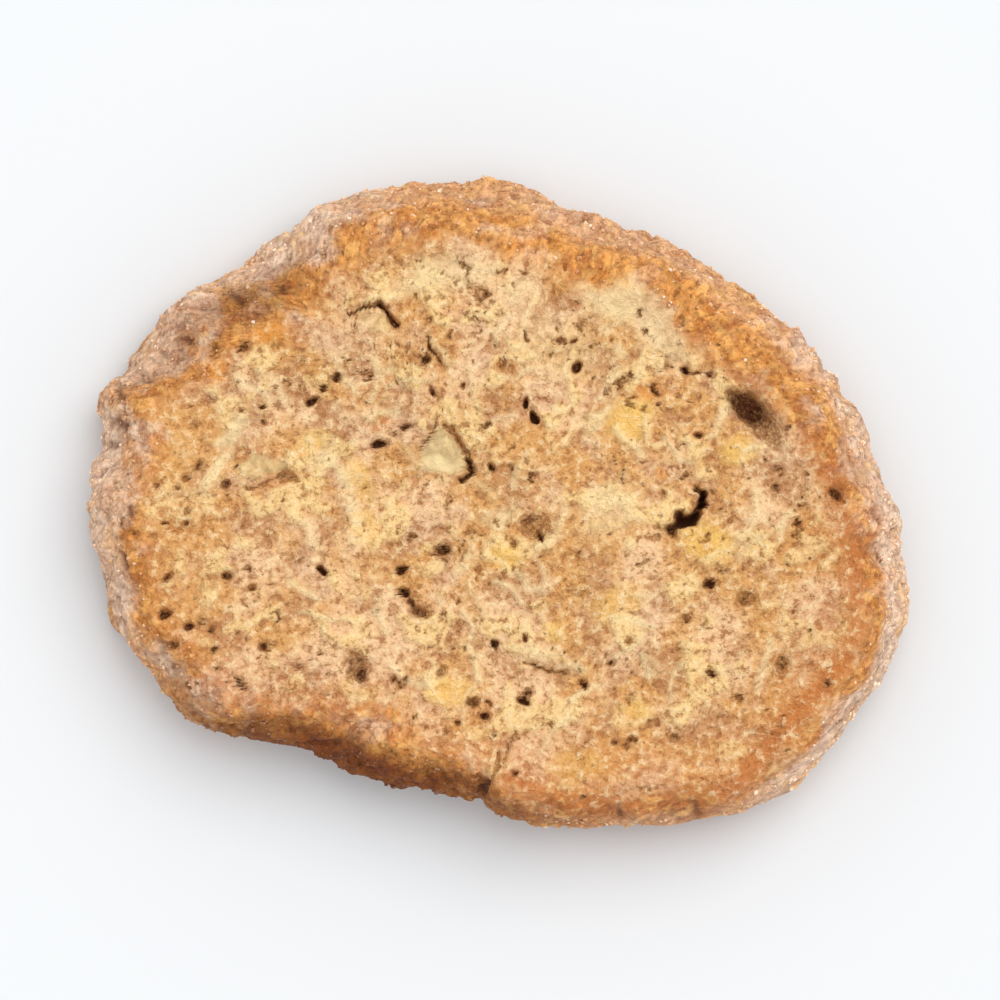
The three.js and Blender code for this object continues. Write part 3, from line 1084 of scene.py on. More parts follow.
    patches: tuple[Patch, ...] = (
        Patch(Tint.GOLDEN, Oval(16.2, -3.4, 5.2, 3.6, -20), 0.85),
        Patch(Tint.GOLDEN, Oval(10.2, 6.4, 5.0, 3.8, 40), 0.8),
        Patch(Tint.TOASTED, Oval(11.6, 8.5, 2.4, 1.4, 10), 0.35),
        Patch(Tint.GOLDEN, Oval(0.4, -4.5, 3.4, 2.4, -10), 0.8),
        Patch(Tint.GOLDEN, Oval(-3.7, -14.9, 4.6, 2.6, 0), 0.75),
        Patch(Tint.GOLDEN, Oval(-10.4, -2.0, 2.8, 4.0, 10), 0.6),
        Patch(Tint.GOLDEN, Oval(-10.9, 1.6, 2.2, 5.5, 25), 0.55),
        Patch(Tint.GOLDEN, Oval(-14.5, 4.5, 3.6, 2.4, 30), 0.7),
        Patch(Tint.GOLDEN, Oval(18.5, 3.7, 3.6, 2.8, 10), 0.75),
        Patch(Tint.TOASTED, Oval(-2.8, 6.8, 2.0, 1.6, 60), 0.35),
        Patch(Tint.TOASTED, Oval(-9.2, 5.9, 1.6, 1.3, 20), 0.8),
        Patch(Tint.AMBER, Oval(-18.6, 13.5, 5.4, 2.8, -15), 0.75),
        Patch(Tint.AMBER, Oval(-22.6, 10.0, 3.4, 2.8, 20), 0.7),
        Patch(Tint.TOASTED, Oval(-15.7, 12.5, 1.6, 1.4, 0), 0.5),
        Patch(Tint.AMBER, Oval(26.6, 2.0, 2.2, 2.0, 0), 0.9),
        Patch(Tint.AMBER, Oval(11.3, 8.5, 2.8, 1.8, 10), 0.5),
        Patch(Tint.AMBER, Oval(12.5, 2.1, 1.4, 1.2, 0), 0.5),
        Patch(Tint.AMBER, Oval(16.1, -3.7, 1.5, 1.2, 0), 0.5),
        Patch(Tint.GOLDEN, Oval(4.0, -10.3, 2.6, 1.8, 0), 0.6),
        Patch(Tint.GOLDEN, Oval(10.6, -16.3, 3.0, 1.6, 0), 0.6),
        Patch(Tint.PALE, Oval(-21.5, 4.6, 1.8, 1.0, 20), 0.8),
        Patch(Tint.PALE, Oval(-22.2, 2.1, 4.4, 1.1, 56), 0.8),
        Patch(Tint.PALE, Oval(-20.5, 5.4, 4.2, 0.9, 68), 0.75),
        Patch(Tint.GOLDEN, Oval(9.2, -8.0, 5.6, 3.4, 30), 0.5),
        Patch(Tint.GOLDEN, Oval(6.0, -20.6, 5.5, 2.8, 0), 0.55),
        Patch(Tint.PALE, Oval(9.2, 16.0, 7.5, 5.0, -25), 0.85),
        Patch(Tint.PALE, Oval(12.8, 13.2, 8.0, 4.2, -42), 0.65),
        Patch(Tint.PALE, Oval(-4.0, 17.8, 8.5, 3.6, 5), 0.55),
        Patch(Tint.PALE, Oval(-4.9, 2.8, 2.8, 1.4, -15), 0.55),
        # Amber along the groove under the pale slab, part of its painted shadow.
        Patch(Tint.AMBER, Oval(-17.4, 1.3, 4.6, 1.4, 13), 0.35),
        Patch(Tint.TOASTED, Oval(0.5, 10.3, 2.5, 1.8, -20), 0.6),
        Patch(Tint.PALE, Oval(4.4, 12.0, 9.0, 6.0, -20), 0.35),
        Patch(Tint.PALE, Oval(1.5, 16.2, 5.0, 3.0, 0), 0.4),
        Patch(Tint.PALE, Oval(-7.0, 16.8, 5.0, 2.4, 20), 0.45),
        Patch(Tint.PALE, Oval(8.5, -0.8, 6.5, 5.0, 40), 0.45),
        Patch(Tint.PALE, Oval(0.0, -1.2, 4.6, 1.6, 10), 0.4),
        Patch(Tint.GOLDEN, Oval(-25.0, 3.0, 3.0, 5.0, 0), 0.2),
        Patch(Tint.TOASTED, Oval(-24.6, -0.4, 4.6, 6.0, 0), 0.36),
    )


@dataclass(frozen=True)
class Relief:
    """Relief of the crust and the crumb: ripples, where they fade, and how far they move the skin.

    Rises, falls, sways and fades of the edge and the face are in millimetres.
    """

    slow: Ripple = Ripple(0.33, 3)
    brisk: Ripple = Ripple(0.9, 11)
    brisk_across: Ripple = Ripple(0.9, 47)
    quick: Ripple = Ripple(2.1, 23)
    quick_across: Ripple = Ripple(2.1, 53)
    sway: Span = (0.22, 0.1)
    wander: Span = (1.3, 0.8)
    edge_fade: Span = (-0.6, 1.0)
    face_fade: Span = (-2.5, -0.5)
    foot_fade: Span = (0.0, 0.05)
    calm_side: Lobe = Lobe(315, 36, 0.65)
    broad: Ripple = Ripple(0.3, 31)
    broad_rise: Span = (0.5, 1.1)
    small: Ripple = Ripple(0.8, 37)
    small_rise: float = 0.32
    uneven: Ripple = Ripple(0.13, 41)
    uneven_fade: Span = (-0.5, 0.5)
    packed: Ripple = Ripple(0.95, 67)
    pebble_sway: float = 0.3
    pebble_fall: float = 0.34
    crag_grain: Span = (0.06, 0.02)
    # Fold and gap darks are painted shade for the crust's crevices.
    fold_fade: Span = (0.0, 0.12)
    fold_dark: Span = (0.6, 0.3)
    fold_broken: Span = (-0.5, 0.4)
    gap_fade: Span = (0.0, 0.3)
    gap_dark: float = 0.42
    clump: Ripple = Ripple(0.3, 91)
    clump_fade: Span = (0.12, 0.42)
    clump_rise: float = 0.34
    smudge_and_shade: Ripple = Ripple(0.34, 97)
    smudge_fade: Span = (0.14, 0.5)
    smudge_fall: float = 0.28
    ragged: float = 0.5
    crumb_grain: tuple[float, float, float] = (0.17, 0.1, 0.03)


@dataclass(frozen=True)
class Fibres:
    """Short pale fibres strewn over the face, in millimetres."""

    count: int = 60
    steps: int = 3
    length: Span = (1.4, 4.2)
    wide: Span = (0.2, 0.38)
    rise: Span = (0.1, 0.26)
    strength: Span = (0.3, 0.75)
    bend: float = 0.6
    valley: float = 0.6
    whole_face: float = 0.99
    furthest: float = 0.66


@dataclass(frozen=True)
class PitKind:
    """Kind of pit: how many, their radius in millimetres, their depth in radii, and where they are."""

    count: int
    radius: Span
    depth: float
    in_crust: bool = False


@dataclass(frozen=True)
class Pricks:
    """Small pits of the face, the crust and the underside, in millimetres and radii."""

    kinds: tuple[PitKind, ...] = (
        PitKind(100, (0.22, 0.42), 1.5),
        PitKind(400, (0.12, 0.22), 1.6),
        PitKind(160, (0.14, 0.34), 0.9, in_crust=True),
    )
    bends: tuple[Ripple, ...] = (Ripple(1.5, 101), Ripple(1.5, 103), Ripple(1.5, 107))
    fine_bends: tuple[Ripple, ...] = (Ripple(3.1, 109), Ripple(3.1, 113), Ripple(3.1, 127))
    bend_reach: float = 0.36
    fine_share: float = 0.6
    dense: Ripple = Ripple(0.16, 61)
    chance: float = 0.45
    clear_of_edge: float = 0.4
    lowest: float = 0.97
    stretch: float = 1.4
    reach: float = 1.25
    steep: float = 1.7
    sink: float = 0.6
    # Darks are painted shade inside the pits, on the face, the crust and the underside.
    dark: Span = (0.34, 1.0)
    darkest: float = 0.9
    foot_count: int = 260
    foot_size: Span = (0.35, 1.0)
    foot_spread: float = 0.9
    foot_edge: float = 1.2
    foot_depth: float = 0.7
    foot_dark: float = 0.7


@dataclass(frozen=True)
class CrustTints:
    """Where round the slice the crust is bare, toasted, rosy, frosted and browned (with painted shadow on
    the near wall), in degrees.

    The toasted rim, its inner side and the blush fade by millimetres out from the crumb's edge, the wall
    and the frosting by shares of the crust's width, and low and foot ones by shares of the way to the foot.
    """

    drift: Ripple = Ripple(0.3, 71)
    drift_reach: float = 0.7
    bare_rims: tuple[Lobe, ...] = (
        Lobe(308, 36, 1.4),
        Lobe(272, 10, 1.0),
        Lobe(62, 18, 0.7),
        Lobe(101, 12, 0.8),
    )
    rusty: tuple[Lobe, ...] = (
        Lobe(288, 20, 0.45),
        Lobe(228, 22, 0.3),
        Lobe(35, 18, 0.2),
        Lobe(80, 36, -0.2),
        Lobe(325, 34, -0.3),
    )
    rim_strength: float = 0.3
    rim_out: float = 0.3
    rim_lag: Lobe = Lobe(285, 35, 1.1)
    rim_span: float = 1.1
    inner_rims: tuple[Lobe, ...] = (Lobe(222, 22, 0.8), Lobe(288, 34, 1.0), Lobe(338, 20, 0.9))
    inner_strength: float = 0.42
    inner_from: Span = (-6.0, -0.5)
    inner_to: Span = (0.5, 2.0)
    rust_line: Crack = Crack(
        (
            (23.2, 7.0),
            (25.0, 3.4),
            (26.7, -0.6),
            (27.6, -4.2),
            (27.5, -8.0),
            (27.6, -10.1),
            (26.1, -12.9),
            (24.2, -15.1),
            (21.3, -18.6),
            (19.8, -20.4),
            (18.2, -22.3),
            (15.8, -23.3),
            (12.6, -23.7),
            (9.6, -23.5),
            (6.4, -23.7),
            (3.4, -23.2),
            (1.0, -21.8),
        ),
        1.25,
        0.97,
    )
    line_drift: float = 0.4
    most_toasted: float = 0.96
    foot_toasted: float = 0.35
    blushed: tuple[Lobe, ...] = (
        Lobe(0, 28, 0.8),
        Lobe(58, 34, -0.4),
        Lobe(124, 13, 0.45),
        Lobe(156, 12, 0.35),
        Lobe(180, 35, 0.85),
        Lobe(260, 40, -0.5),
    )
    blush_start: float = -0.1
    blush_from: Span = (0.8, 2.6)
    least_rosy: float = -0.6
    frosted: tuple[Lobe, ...] = (
        Lobe(0, 30, 0.6),
        Lobe(70, 35, 0.45),
        Lobe(128, 18, 0.75),
        Lobe(186, 20, 0.8),
        Lobe(290, 14, 0.4),
        Lobe(325, 20, 0.9),
    )
    frost_fade: Span = (0.55, 0.93)
    most_frosted: float = 0.85
    low_loss: float = 0.6
    low_fade: Span = (0.87, 0.96)
    low_drift: float = 0.02
    wall_drift: float = 0.15
    dark_knobs: tuple[Lobe, ...] = (Lobe(163, 9, 0.15), Lobe(142, 12, 0.56))
    knob_from: Span = (0.5, 2.5)
    knob_to: Span = (0.7, 1.0)
    # The near wall's dark is partly real browning and partly painted shadow.
    near_from: Span = (202, 232)
    near_to: Span = (252, 292)
    near_drift: float = 16
    early: Lobe = Lobe(221, 12, 0.36)
    wall_fade: Span = (0.34, 0.96)
    foot_loss: float = 0.35
    foot_fade: Span = (0.9, 0.98)
    lowest_brown: float = 0.3
    lowest_fade: Span = (0.86, 1.0)


@dataclass
class Skin:
    """Upper skin while it is worked, in millimetres, with a row or a value for each of its points.

    Marks and patches are read at x and y, which give them ragged edges. Pebbles are read at wavy, which is
    the same without the marks' shift.
    """

    points: Array
    outward: Array
    edge: Array
    face: Array
    wavy: Array
    x: Array
    y: Array
    brisk: Array
    quick: Array
    jitter: Array
    values: dict[str, Array]

    def lift(self, name: str, values: Array) -> None:
        """Raises one of the finish's values to new ones where those are higher."""
        np.maximum(self.values[name], values, out=self.values[name])


@dataclass
class BiscuitBody:
    """The slice itself: porous upper face, craggy crust and flat underside."""

    form: SliceForm
    marks: FaceMarks = FaceMarks()
    relief: Relief = Relief()
    fibres: Fibres = Fibres()
    pricks: Pricks = Pricks()
    tints: CrustTints = CrustTints()
    skin_cells: int = 290
    foot_cells: int = 90
    foot_gap: float = 0.985
    seed: int = 71
    values: tuple[str, ...] = (
        "crust", "hollow", "clump", "smudge_and_shade", "golden", "pale", "toasted", "crevice_shade", "browned_and_shaded", "rosy",
        "pebble", "apple", "amber", "frost",
    )
    direction: Array = field(init=False)
    share: Array = field(init=False)
    points: Array = field(init=False)

    def lay_skin(self) -> bpy.types.Mesh:
        """Lays a grid over the slice and a coarser one under it, joined at the foot.

        Returns:
            The closed smooth mesh, in millimetres.
        """
        work = bmesh.new()
        upper, lower = (
            bmesh.ops.create_grid(work, x_segments=count, y_segments=count, size=1.0)["verts"]
            for count in (self.skin_cells, self.foot_cells)
        )
        bmesh.ops.reverse_faces(work, faces=list({f for v in lower for f in v.link_faces}))
        self.direction, self.share = self.ring_places(upper)
        self.points = self.form.skin(self.direction, self.share)
        direction, share = self.ring_places(lower)
        foot = self.form.smooth(direction, np.ones(share.shape))
        foot *= (share * self.foot_gap)[:, None]
        box = np.stack([self.points.min(axis=0), self.points.max(axis=0)])
        low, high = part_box("biscuit")
        middle = np.array((low + high) / 2) / MM - box.mean(axis=0)
        shift = np.array([middle[0], middle[1], 0.0])
        for vertices, places in ((upper, self.points + shift), (lower, foot + shift)):
            for vertex, place in zip(vertices, places):
                vertex.co = place
        rim = [edge for edge in work.edges if edge.is_boundary]
        bmesh.ops.bridge_loops(work, edges=rim)
        bmesh.ops.recalc_face_normals(work, faces=work.faces)
        for face in work.faces:
            face.smooth = True
        mesh = bpy.data.meshes.new("biscuit_body")
        work.to_mesh(mesh)
        work.free()
        return mesh

    @staticmethod
    def ring_places(vertices: list[bmesh.types.BMVert]) -> tuple[Array, Array]:
        """Reads a square grid as rings spread evenly round the slice.

        Args:
            vertices: Grid's vertices, from -1 to 1 each way.

        Returns:
            Each vertex's direction in degrees, and its ring as a share of the outermost.
        """
        flat = np.array([vertex.co[:2] for vertex in vertices], dtype=float)
        u, v = flat[:, 0], flat[:, 1]
        share = np.minimum(np.maximum(np.abs(u), np.abs(v)), 1.0)
        share[share > 1 - 1e-5] = 1.0
        sideways = np.abs(u) >= np.abs(v)
        safe_u = np.where(np.abs(u) < 1e-9, 1e-9, u)
        safe_v = np.where(np.abs(v) < 1e-9, 1e-9, v)
        direction = np.where(sideways, 45 * v / safe_u, 90 - 45 * u / safe_v)
        direction += np.where(np.where(sideways, u < 0, v < 0), 180, 0)
        return direction, share

    def swell(self, *lobes: Lobe) -> Array:
        """Sum of the swells that lobes give at each point of the upper skin."""
        return self.form.swell(lobes, self.direction)

    def edge_distance(self) -> Array:
        """Measures how far out the points lie from where the crumb meets the crust.

        Returns:
            Distances along the surface in millimetres, below 0 on the crumb.
        """
        radius = np.hypot(self.points[:, 0], self.points[:, 1])
        out = radius - (self.form.waist(self.direction) - self.form.crust(self.direction))
        fall = np.maximum(0, self.form.thickness - self.points[:, 2])
        return np.where(self.share > self.form.face_share, np.hypot(out, fall), out)

    def take_skin(self, places: Array, normals: Array, fields: dict[str, Array]) -> Skin:
        """Takes up the upper skin to be worked.

        Args:
            places: All the mesh's points, which the skin shares.
            normals: Their normals.
            fields: The finish's values at all of them, which the skin shares.

        Returns:
            The upper skin.
        """
        count, relief = len(self.share), self.relief
        points = places[:count]
        brisk, quick = relief.brisk.at(points), relief.quick.at(points)
        sway = np.stack([brisk, relief.brisk_across.at(points)], axis=1)
        shiver = np.stack([quick, relief.quick_across.at(points)], axis=1)
        wavy = points[:, :2] + relief.sway[0] * sway + relief.sway[1] * shiver
        edge = self.edge_distance()
        return Skin(
            points=points,
            outward=normals[:count],
            edge=edge,
            face=ease(-edge, *relief.face_fade),
            wavy=wavy,
            x=wavy[:, 0],
            y=wavy[:, 1] + self.marks.shift,
            brisk=brisk,
            quick=quick,
            jitter=np.random.default_rng(self.seed).uniform(-1, 1, count),
            values={name: values[:count] for name, values in fields.items()},
        )

    def sculpt(self, mesh: bpy.types.Mesh) -> dict[str, Array]:
        """Works the crags, hollows, cracks and grain into the skin.

        Args:
            mesh: Smooth mesh, in millimetres, which is left in metres.

        Returns:
            The values that the finish reads at each vertex.
        """
        places, normals = read_points(mesh)
        fields = {name: np.zeros(len(places)) for name in self.values}
        skin = self.take_skin(places, normals, fields)
        self.crag(skin)
        self.crumble(skin)
        self.mark(skin)
        np.maximum(skin.points[:, 2], 0, out=skin.points[:, 2])
        self.prick_foot(places, fields["hollow"])
        fields["toasted"][len(self.share):] = self.tints.foot_toasted
        drift = self.tints.drift_reach * self.tints.drift.at(self.points)
        self.patch(skin)
        self.toast(skin, drift)
        self.blush(skin, drift)
        self.brown(skin, drift)
        mesh.vertices.foreach_set("co", (places * MM).ravel())
        return fields

    def crag(self, skin: Skin) -> None:
        """Works folds, packed pebbles and clefts into the crust, with painted shade in the folds, gaps and
        clefts.

        Args:
            skin: Upper skin, which is worked.
        """
        relief, marks = self.relief, self.marks
        calm = self.swell(relief.calm_side)
        wander = relief.wander[0] * relief.slow.at(skin.points) + relief.wander[1] * skin.brisk
        bare = self.swell(*self.tints.bare_rims)
        crust = ease(skin.edge - bare + wander * (1 - calm), *relief.edge_fade)
        broad, small = np.abs(relief.broad.at(skin.points)), np.abs(relief.small.at(skin.points))
        uneven = ease(relief.uneven.at(skin.points), *relief.uneven_fade)
        packed = np.column_stack([skin.wavy, skin.points[:, 2] + relief.pebble_sway * skin.quick])
        near, gap, pebble = relief.packed.pebbles(packed)
        crags = between(relief.broad_rise, uneven) * broad + relief.small_rise * small
        crags = crags - relief.pebble_fall * near**2
        crags = crags + relief.crag_grain[0] * skin.quick + relief.crag_grain[1] * skin.jitter
        crags = (crags - np.average(crags, weights=crust)) * (1 - calm)
        # Painted shade in the folds and in the gaps between pebbles.
        folds = relief.fold_dark[0] * uneven * (1 - ease(broad, *relief.fold_fade))
        folds = folds + relief.fold_dark[1] * (1 - ease(small, *relief.fold_fade))
        gaps = relief.gap_dark * (1 - ease(gap, *relief.gap_fade))
        crevice_shade = np.maximum(folds * ease(skin.quick, *relief.fold_broken), gaps)
        # Each cleft dents the crust and takes painted shade.
        for cleft in marks.clefts:
            dent = 1 - ease(cleft.distance(skin.x, skin.y) / cleft.wide, *marks.cleft_edge)
            dent = dent * ease(skin.points[:, 2] + marks.cleft_ragged * skin.brisk, *marks.cleft_heights)
            crags -= cleft.deep * dent
            crevice_shade = np.maximum(crevice_shade, marks.cleft_dark * dent)
        above_foot = ease(1 - self.share, *relief.foot_fade)
        skin.points += skin.outward * (crags * crust * above_foot)[:, None]
        for name, values in (("crust", crust), ("pebble", pebble), ("crevice_shade", crevice_shade)):
            skin.lift(name, values)

    def crumble(self, skin: Skin) -> None:
        """Works clumps, smudges and grain into the crumb.

        Args:
            skin: Upper skin, which is worked.
        """
        relief = self.relief
        clump = ease(relief.clump.at(skin.points) + relief.ragged * skin.brisk, *relief.clump_fade)
        smudge_and_shade = ease(relief.smudge_and_shade.at(skin.points) + relief.ragged * skin.quick, *relief.smudge_fade)
        crumbs = relief.clump_rise * clump - relief.smudge_fall * smudge_and_shade
        for rise, ripple in zip(relief.crumb_grain, (skin.brisk, skin.quick, skin.jitter)):
            crumbs = crumbs + rise * ripple
        skin.points[:, 2] += crumbs * (1 - skin.values["crust"])
        skin.lift("clump", clump)
        skin.lift("smudge_and_shade", smudge_and_shade)

    def mark(self, skin: Skin) -> None:
        """Sets the bumps, streaks, fibres, hollows, pits, apple and cracks into the face, with painted
        shade in the hollows, pits and cracks.

        Args:
            skin: Upper skin, which is worked.
        """
        marks, x, y, high = self.marks, skin.x, skin.y, skin.points[:, 2]
        for bump in marks.bumps:
            high += bump.deep * bell(bump.distance(x, y) ** 2, marks.bump_span) * skin.face
        broken = ease(skin.quick + skin.brisk, *marks.streak_broken)
        for streak in marks.streaks:
            ridge = bell(streak.distance(x, y), streak.wide) * skin.face
            high += streak.deep * ridge
            skin.lift("pale", marks.streak_pale * ridge * broken)
        self.lay_fibres(skin)
        for oval in marks.hollows:
            floor = gained(marks.hollow_floor, oval.deep, marks.widest_floor)
            dent = (1 - ease(oval.distance(x, y), floor, marks.hollow_edge)) * skin.face
            high -= oval.deep * dent
            # Painted shade in the hollow, by its depth.
            skin.lift("hollow", dent * gained(marks.hollow_dark, oval.deep))
        self.prick(skin)
        for die in marks.dice:
            shown = ease(die.inside(x, y), *marks.die_edge)
            level = self.points[:, 2] + die.level(x, y) + marks.die_uneven * skin.brisk
            high += shown * (level - high)
            skin.values["hollow"] *= 1 - shown
            skin.lift("apple", die.strength * shown)
        ragged = 1 + marks.crack_ragged[0] * skin.brisk + marks.crack_ragged[1] * skin.quick
        for crack in marks.cracks:
            away = crack.distance(x, y) / np.maximum(crack.wide * ragged, marks.crack_least)
            dent = (1 - ease(away, *marks.crack_edge)) * skin.face
            high -= crack.deep * dent
            # Painted shade in the crack, by its depth.
            skin.lift("hollow", dent * gained(marks.crack_dark, crack.deep))

    def lay_fibres(self, skin: Skin) -> None:
        """Lays short pale fibres over the face, each with a valley on its near side that is darkened with
        painted shade.

        Args:
            skin: Upper skin, which is worked.
        """
        fibres, draw = self.fibres, random.Random(self.seed + 2)
        allowed = np.flatnonzero((skin.face > fibres.whole_face) & (self.share < fibres.furthest))
        for _ in range(fibres.count):
            start = skin.points[allowed[draw.randrange(len(allowed))]]
            turn = draw.uniform(0, math.tau)
            step = draw.uniform(*fibres.length) / fibres.steps
            line = [(start[0], start[1])]
            for _ in range(fibres.steps):
                turn += draw.uniform(-fibres.bend, fibres.bend)
                line.append((line[-1][0] + step * math.cos(turn), line[-1][1] + step * math.sin(turn)))
            wide, rise = draw.uniform(*fibres.wide), draw.uniform(*fibres.rise)
            strength = draw.uniform(*fibres.strength)
            fibre = Crack(tuple(line), wide, rise)
            ridge = bell(fibre.distance(skin.x, skin.y), wide) * skin.face
            # The valley lies on one side of the fibre only and takes painted shade through the smudge
            # value.
            valley = bell(fibre.distance(skin.x + wide, skin.y + wide), wide) * skin.face * (1 - ridge)
            skin.points[:, 2] += rise * (ridge - fibres.valley * valley)
            skin.lift("pale", strength * ridge)
            skin.lift("smudge_and_shade", strength * valley)

    def prick(self, skin: Skin) -> None:
        """Pricks small pits and pinholes into the face and the crust, and paints shade into them.

        Args:
            skin: Upper skin, which is worked.
        """
        pricks, hollow = self.pricks, skin.values["hollow"]
        bend = np.stack([ripple.at(skin.points) for ripple in pricks.bends], axis=1)
        fine = np.stack([ripple.at(skin.points) for ripple in pricks.fine_bends], axis=1)
        bent = skin.points + pricks.bend_reach * (bend + pricks.fine_share * fine)
        tree = kdtree.KDTree(len(bent))
        for index, point in enumerate(bent):
            tree.insert(point, index)
        tree.balance()
        draw = random.Random(self.seed)
        dense = pricks.dense.at(skin.points)
        in_face = np.flatnonzero(skin.edge < -pricks.clear_of_edge)
        in_crust = np.flatnonzero((skin.edge > pricks.clear_of_edge) & (self.share < pricks.lowest))
        for kind in pricks.kinds:
            allowed = in_crust if kind.in_crust else in_face
            made = 0
            while made < kind.count:
                index = int(allowed[draw.randrange(len(allowed))])
                if draw.random() > pricks.chance + dense[index]:
                    continue
                made += 1
                radius = between(kind.radius, draw.random() ** 2)
                stretch = Vector((draw.uniform(-1, 1), draw.uniform(-1, 1), 0)) * radius * pricks.stretch
                middle, reach = Vector(bent[index]), radius * pricks.reach
                dark = gained(pricks.dark, radius, pricks.darkest)
                for end in (middle - stretch / 2, middle + stretch / 2):
                    for _, near, gap in tree.find_range(end, reach):
                        dent = min(1.0, (1 - gap / reach) * pricks.steep)
                        skin.points[near] -= skin.outward[near] * dent * radius * kind.depth * pricks.sink
                        # Painted shade inside the pit.
                        hollow[near] = max(hollow[near], dent * dark)

    def prick_foot(self, places: Array, hollow: Array) -> None:
        """Pricks pits into the flat underside, and paints shade into them.

        Args:
            places: All the mesh's points, of which those under the slice are moved.
            hollow: How much painted shade each point takes, which is raised.
        """
        pricks, draw = self.pricks, random.Random(self.seed + 1)
        foot, dark = places[len(self.share):], hollow[len(self.share):]
        radius = np.hypot(foot[:, 0], foot[:, 1])
        inner = np.flatnonzero(radius < pricks.foot_spread * self.form.half_width)
        for _ in range(pricks.foot_count):
            middle = foot[inner[draw.randrange(len(inner))]]
            size = draw.uniform(*pricks.foot_size)
            gap = np.hypot(foot[:, 0] - middle[0], foot[:, 1] - middle[1])
            dent = np.clip(pricks.foot_edge - gap / size, 0, 1)
            foot[:, 2] = np.maximum(foot[:, 2], dent * size * pricks.foot_depth)
            # Painted shade inside the pit.
            dark[:] = np.maximum(dark, dent * pricks.foot_dark)

    def patch(self, skin: Skin) -> None:
        """Spreads the golden, pale, toasted and amber patches over the face.

        Args:
            skin: Upper skin, of which the values change.
        """
        for patch in self.marks.patches:
            away = patch.oval.distance(skin.x, skin.y)
            spread = patch.strength * (1 - ease(away, *self.marks.patch_edge))
            skin.lift(patch.tint.value, spread * skin.face)

    def toast(self, skin: Skin, drift: Array) -> None:
        """Toasts the rim, the crumb along its near side and the rusty line.

        Args:
            skin: Upper skin, of which the values change.
            drift: How far the tints' edges drift at each point, in millimetres.
        """
        tints = self.tints
        rim = tints.rim_strength + self.swell(*tints.rusty)
        away = skin.edge - tints.rim_out - self.swell(tints.rim_lag) + drift
        rim = rim * bell(away, tints.rim_span)
        inner = tints.inner_strength * np.minimum(self.swell(*tints.inner_rims), 1)
        inner = inner * ease(skin.edge, *tints.inner_from) * (1 - ease(skin.edge, *tints.inner_to))
        line = tints.rust_line.distance(skin.x, skin.y) + tints.line_drift * drift
        rust = tints.rust_line.deep * bell(line, tints.rust_line.wide)
        toasted = np.maximum(np.maximum(rim, inner), rust)
        skin.lift("toasted", np.clip(toasted, 0, tints.most_toasted))

    def blush(self, skin: Skin, drift: Array) -> None:
        """Spreads the rosy blush and the pale frosting over the crust.

        Args:
            skin: Upper skin, of which the values change.
            drift: How far the tints' edges drift at each point, in millimetres.
        """
        tints = self.tints
        upper = 1 - tints.low_loss * ease(self.share + tints.low_drift * drift, *tints.low_fade)
        rosy = (self.swell(*tints.blushed) + tints.blush_start) * ease(skin.edge, *tints.blush_from)
        skin.values["rosy"][:] = np.clip(rosy, tints.least_rosy, 1) * upper
        out = skin.edge / self.form.crust(self.direction)
        frost = self.swell(*tints.frosted) * ease(out + tints.wall_drift * drift, *tints.frost_fade)
        skin.lift("frost", np.clip(frost, 0, tints.most_frosted) * upper)

    def brown(self, skin: Skin, drift: Array) -> None:
        """Browns the dark knobs, the near wall and the foot; the near wall's dark is partly painted shadow.

        Args:
            skin: Upper skin, of which the values change.
            drift: How far the tints' edges drift at each point, in millimetres.
        """
        tints = self.tints
        out = skin.edge / self.form.crust(self.direction)
        knob = self.swell(*tints.dark_knobs)
        knob = knob * ease(skin.edge, *tints.knob_from) * (1 - ease(out, *tints.knob_to))
        # Near wall: real browning together with painted shadow, darker further out on the wall.
        along = self.direction + tints.near_drift * drift
        near_side = ease(along, *tints.near_from) * (1 - ease(along, *tints.near_to))
        down = out + self.swell(tints.early) + tints.wall_drift * drift
        wall = near_side * ease(down, *tints.wall_fade)
        wall = wall * (1 - tints.foot_loss * ease(self.share, *tints.foot_fade))
        lowest = tints.lowest_brown * ease(self.share, *tints.lowest_fade)
        skin.lift("browned_and_shaded", np.clip(knob + np.maximum(wall, lowest), 0, 1))

    def build(self) -> bpy.types.Object:
        """Builds and dresses the slice.

        Returns:
            The finished piece, which stands for the solid.
        """
        mesh = self.lay_skin()
        for name, values in self.sculpt(mesh).items():
            write_values(mesh, name, values)
        mesh.update()
        piece = place_piece("biscuit_body", mesh, BakedFinish().material())
        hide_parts("biscuit")
        return piece


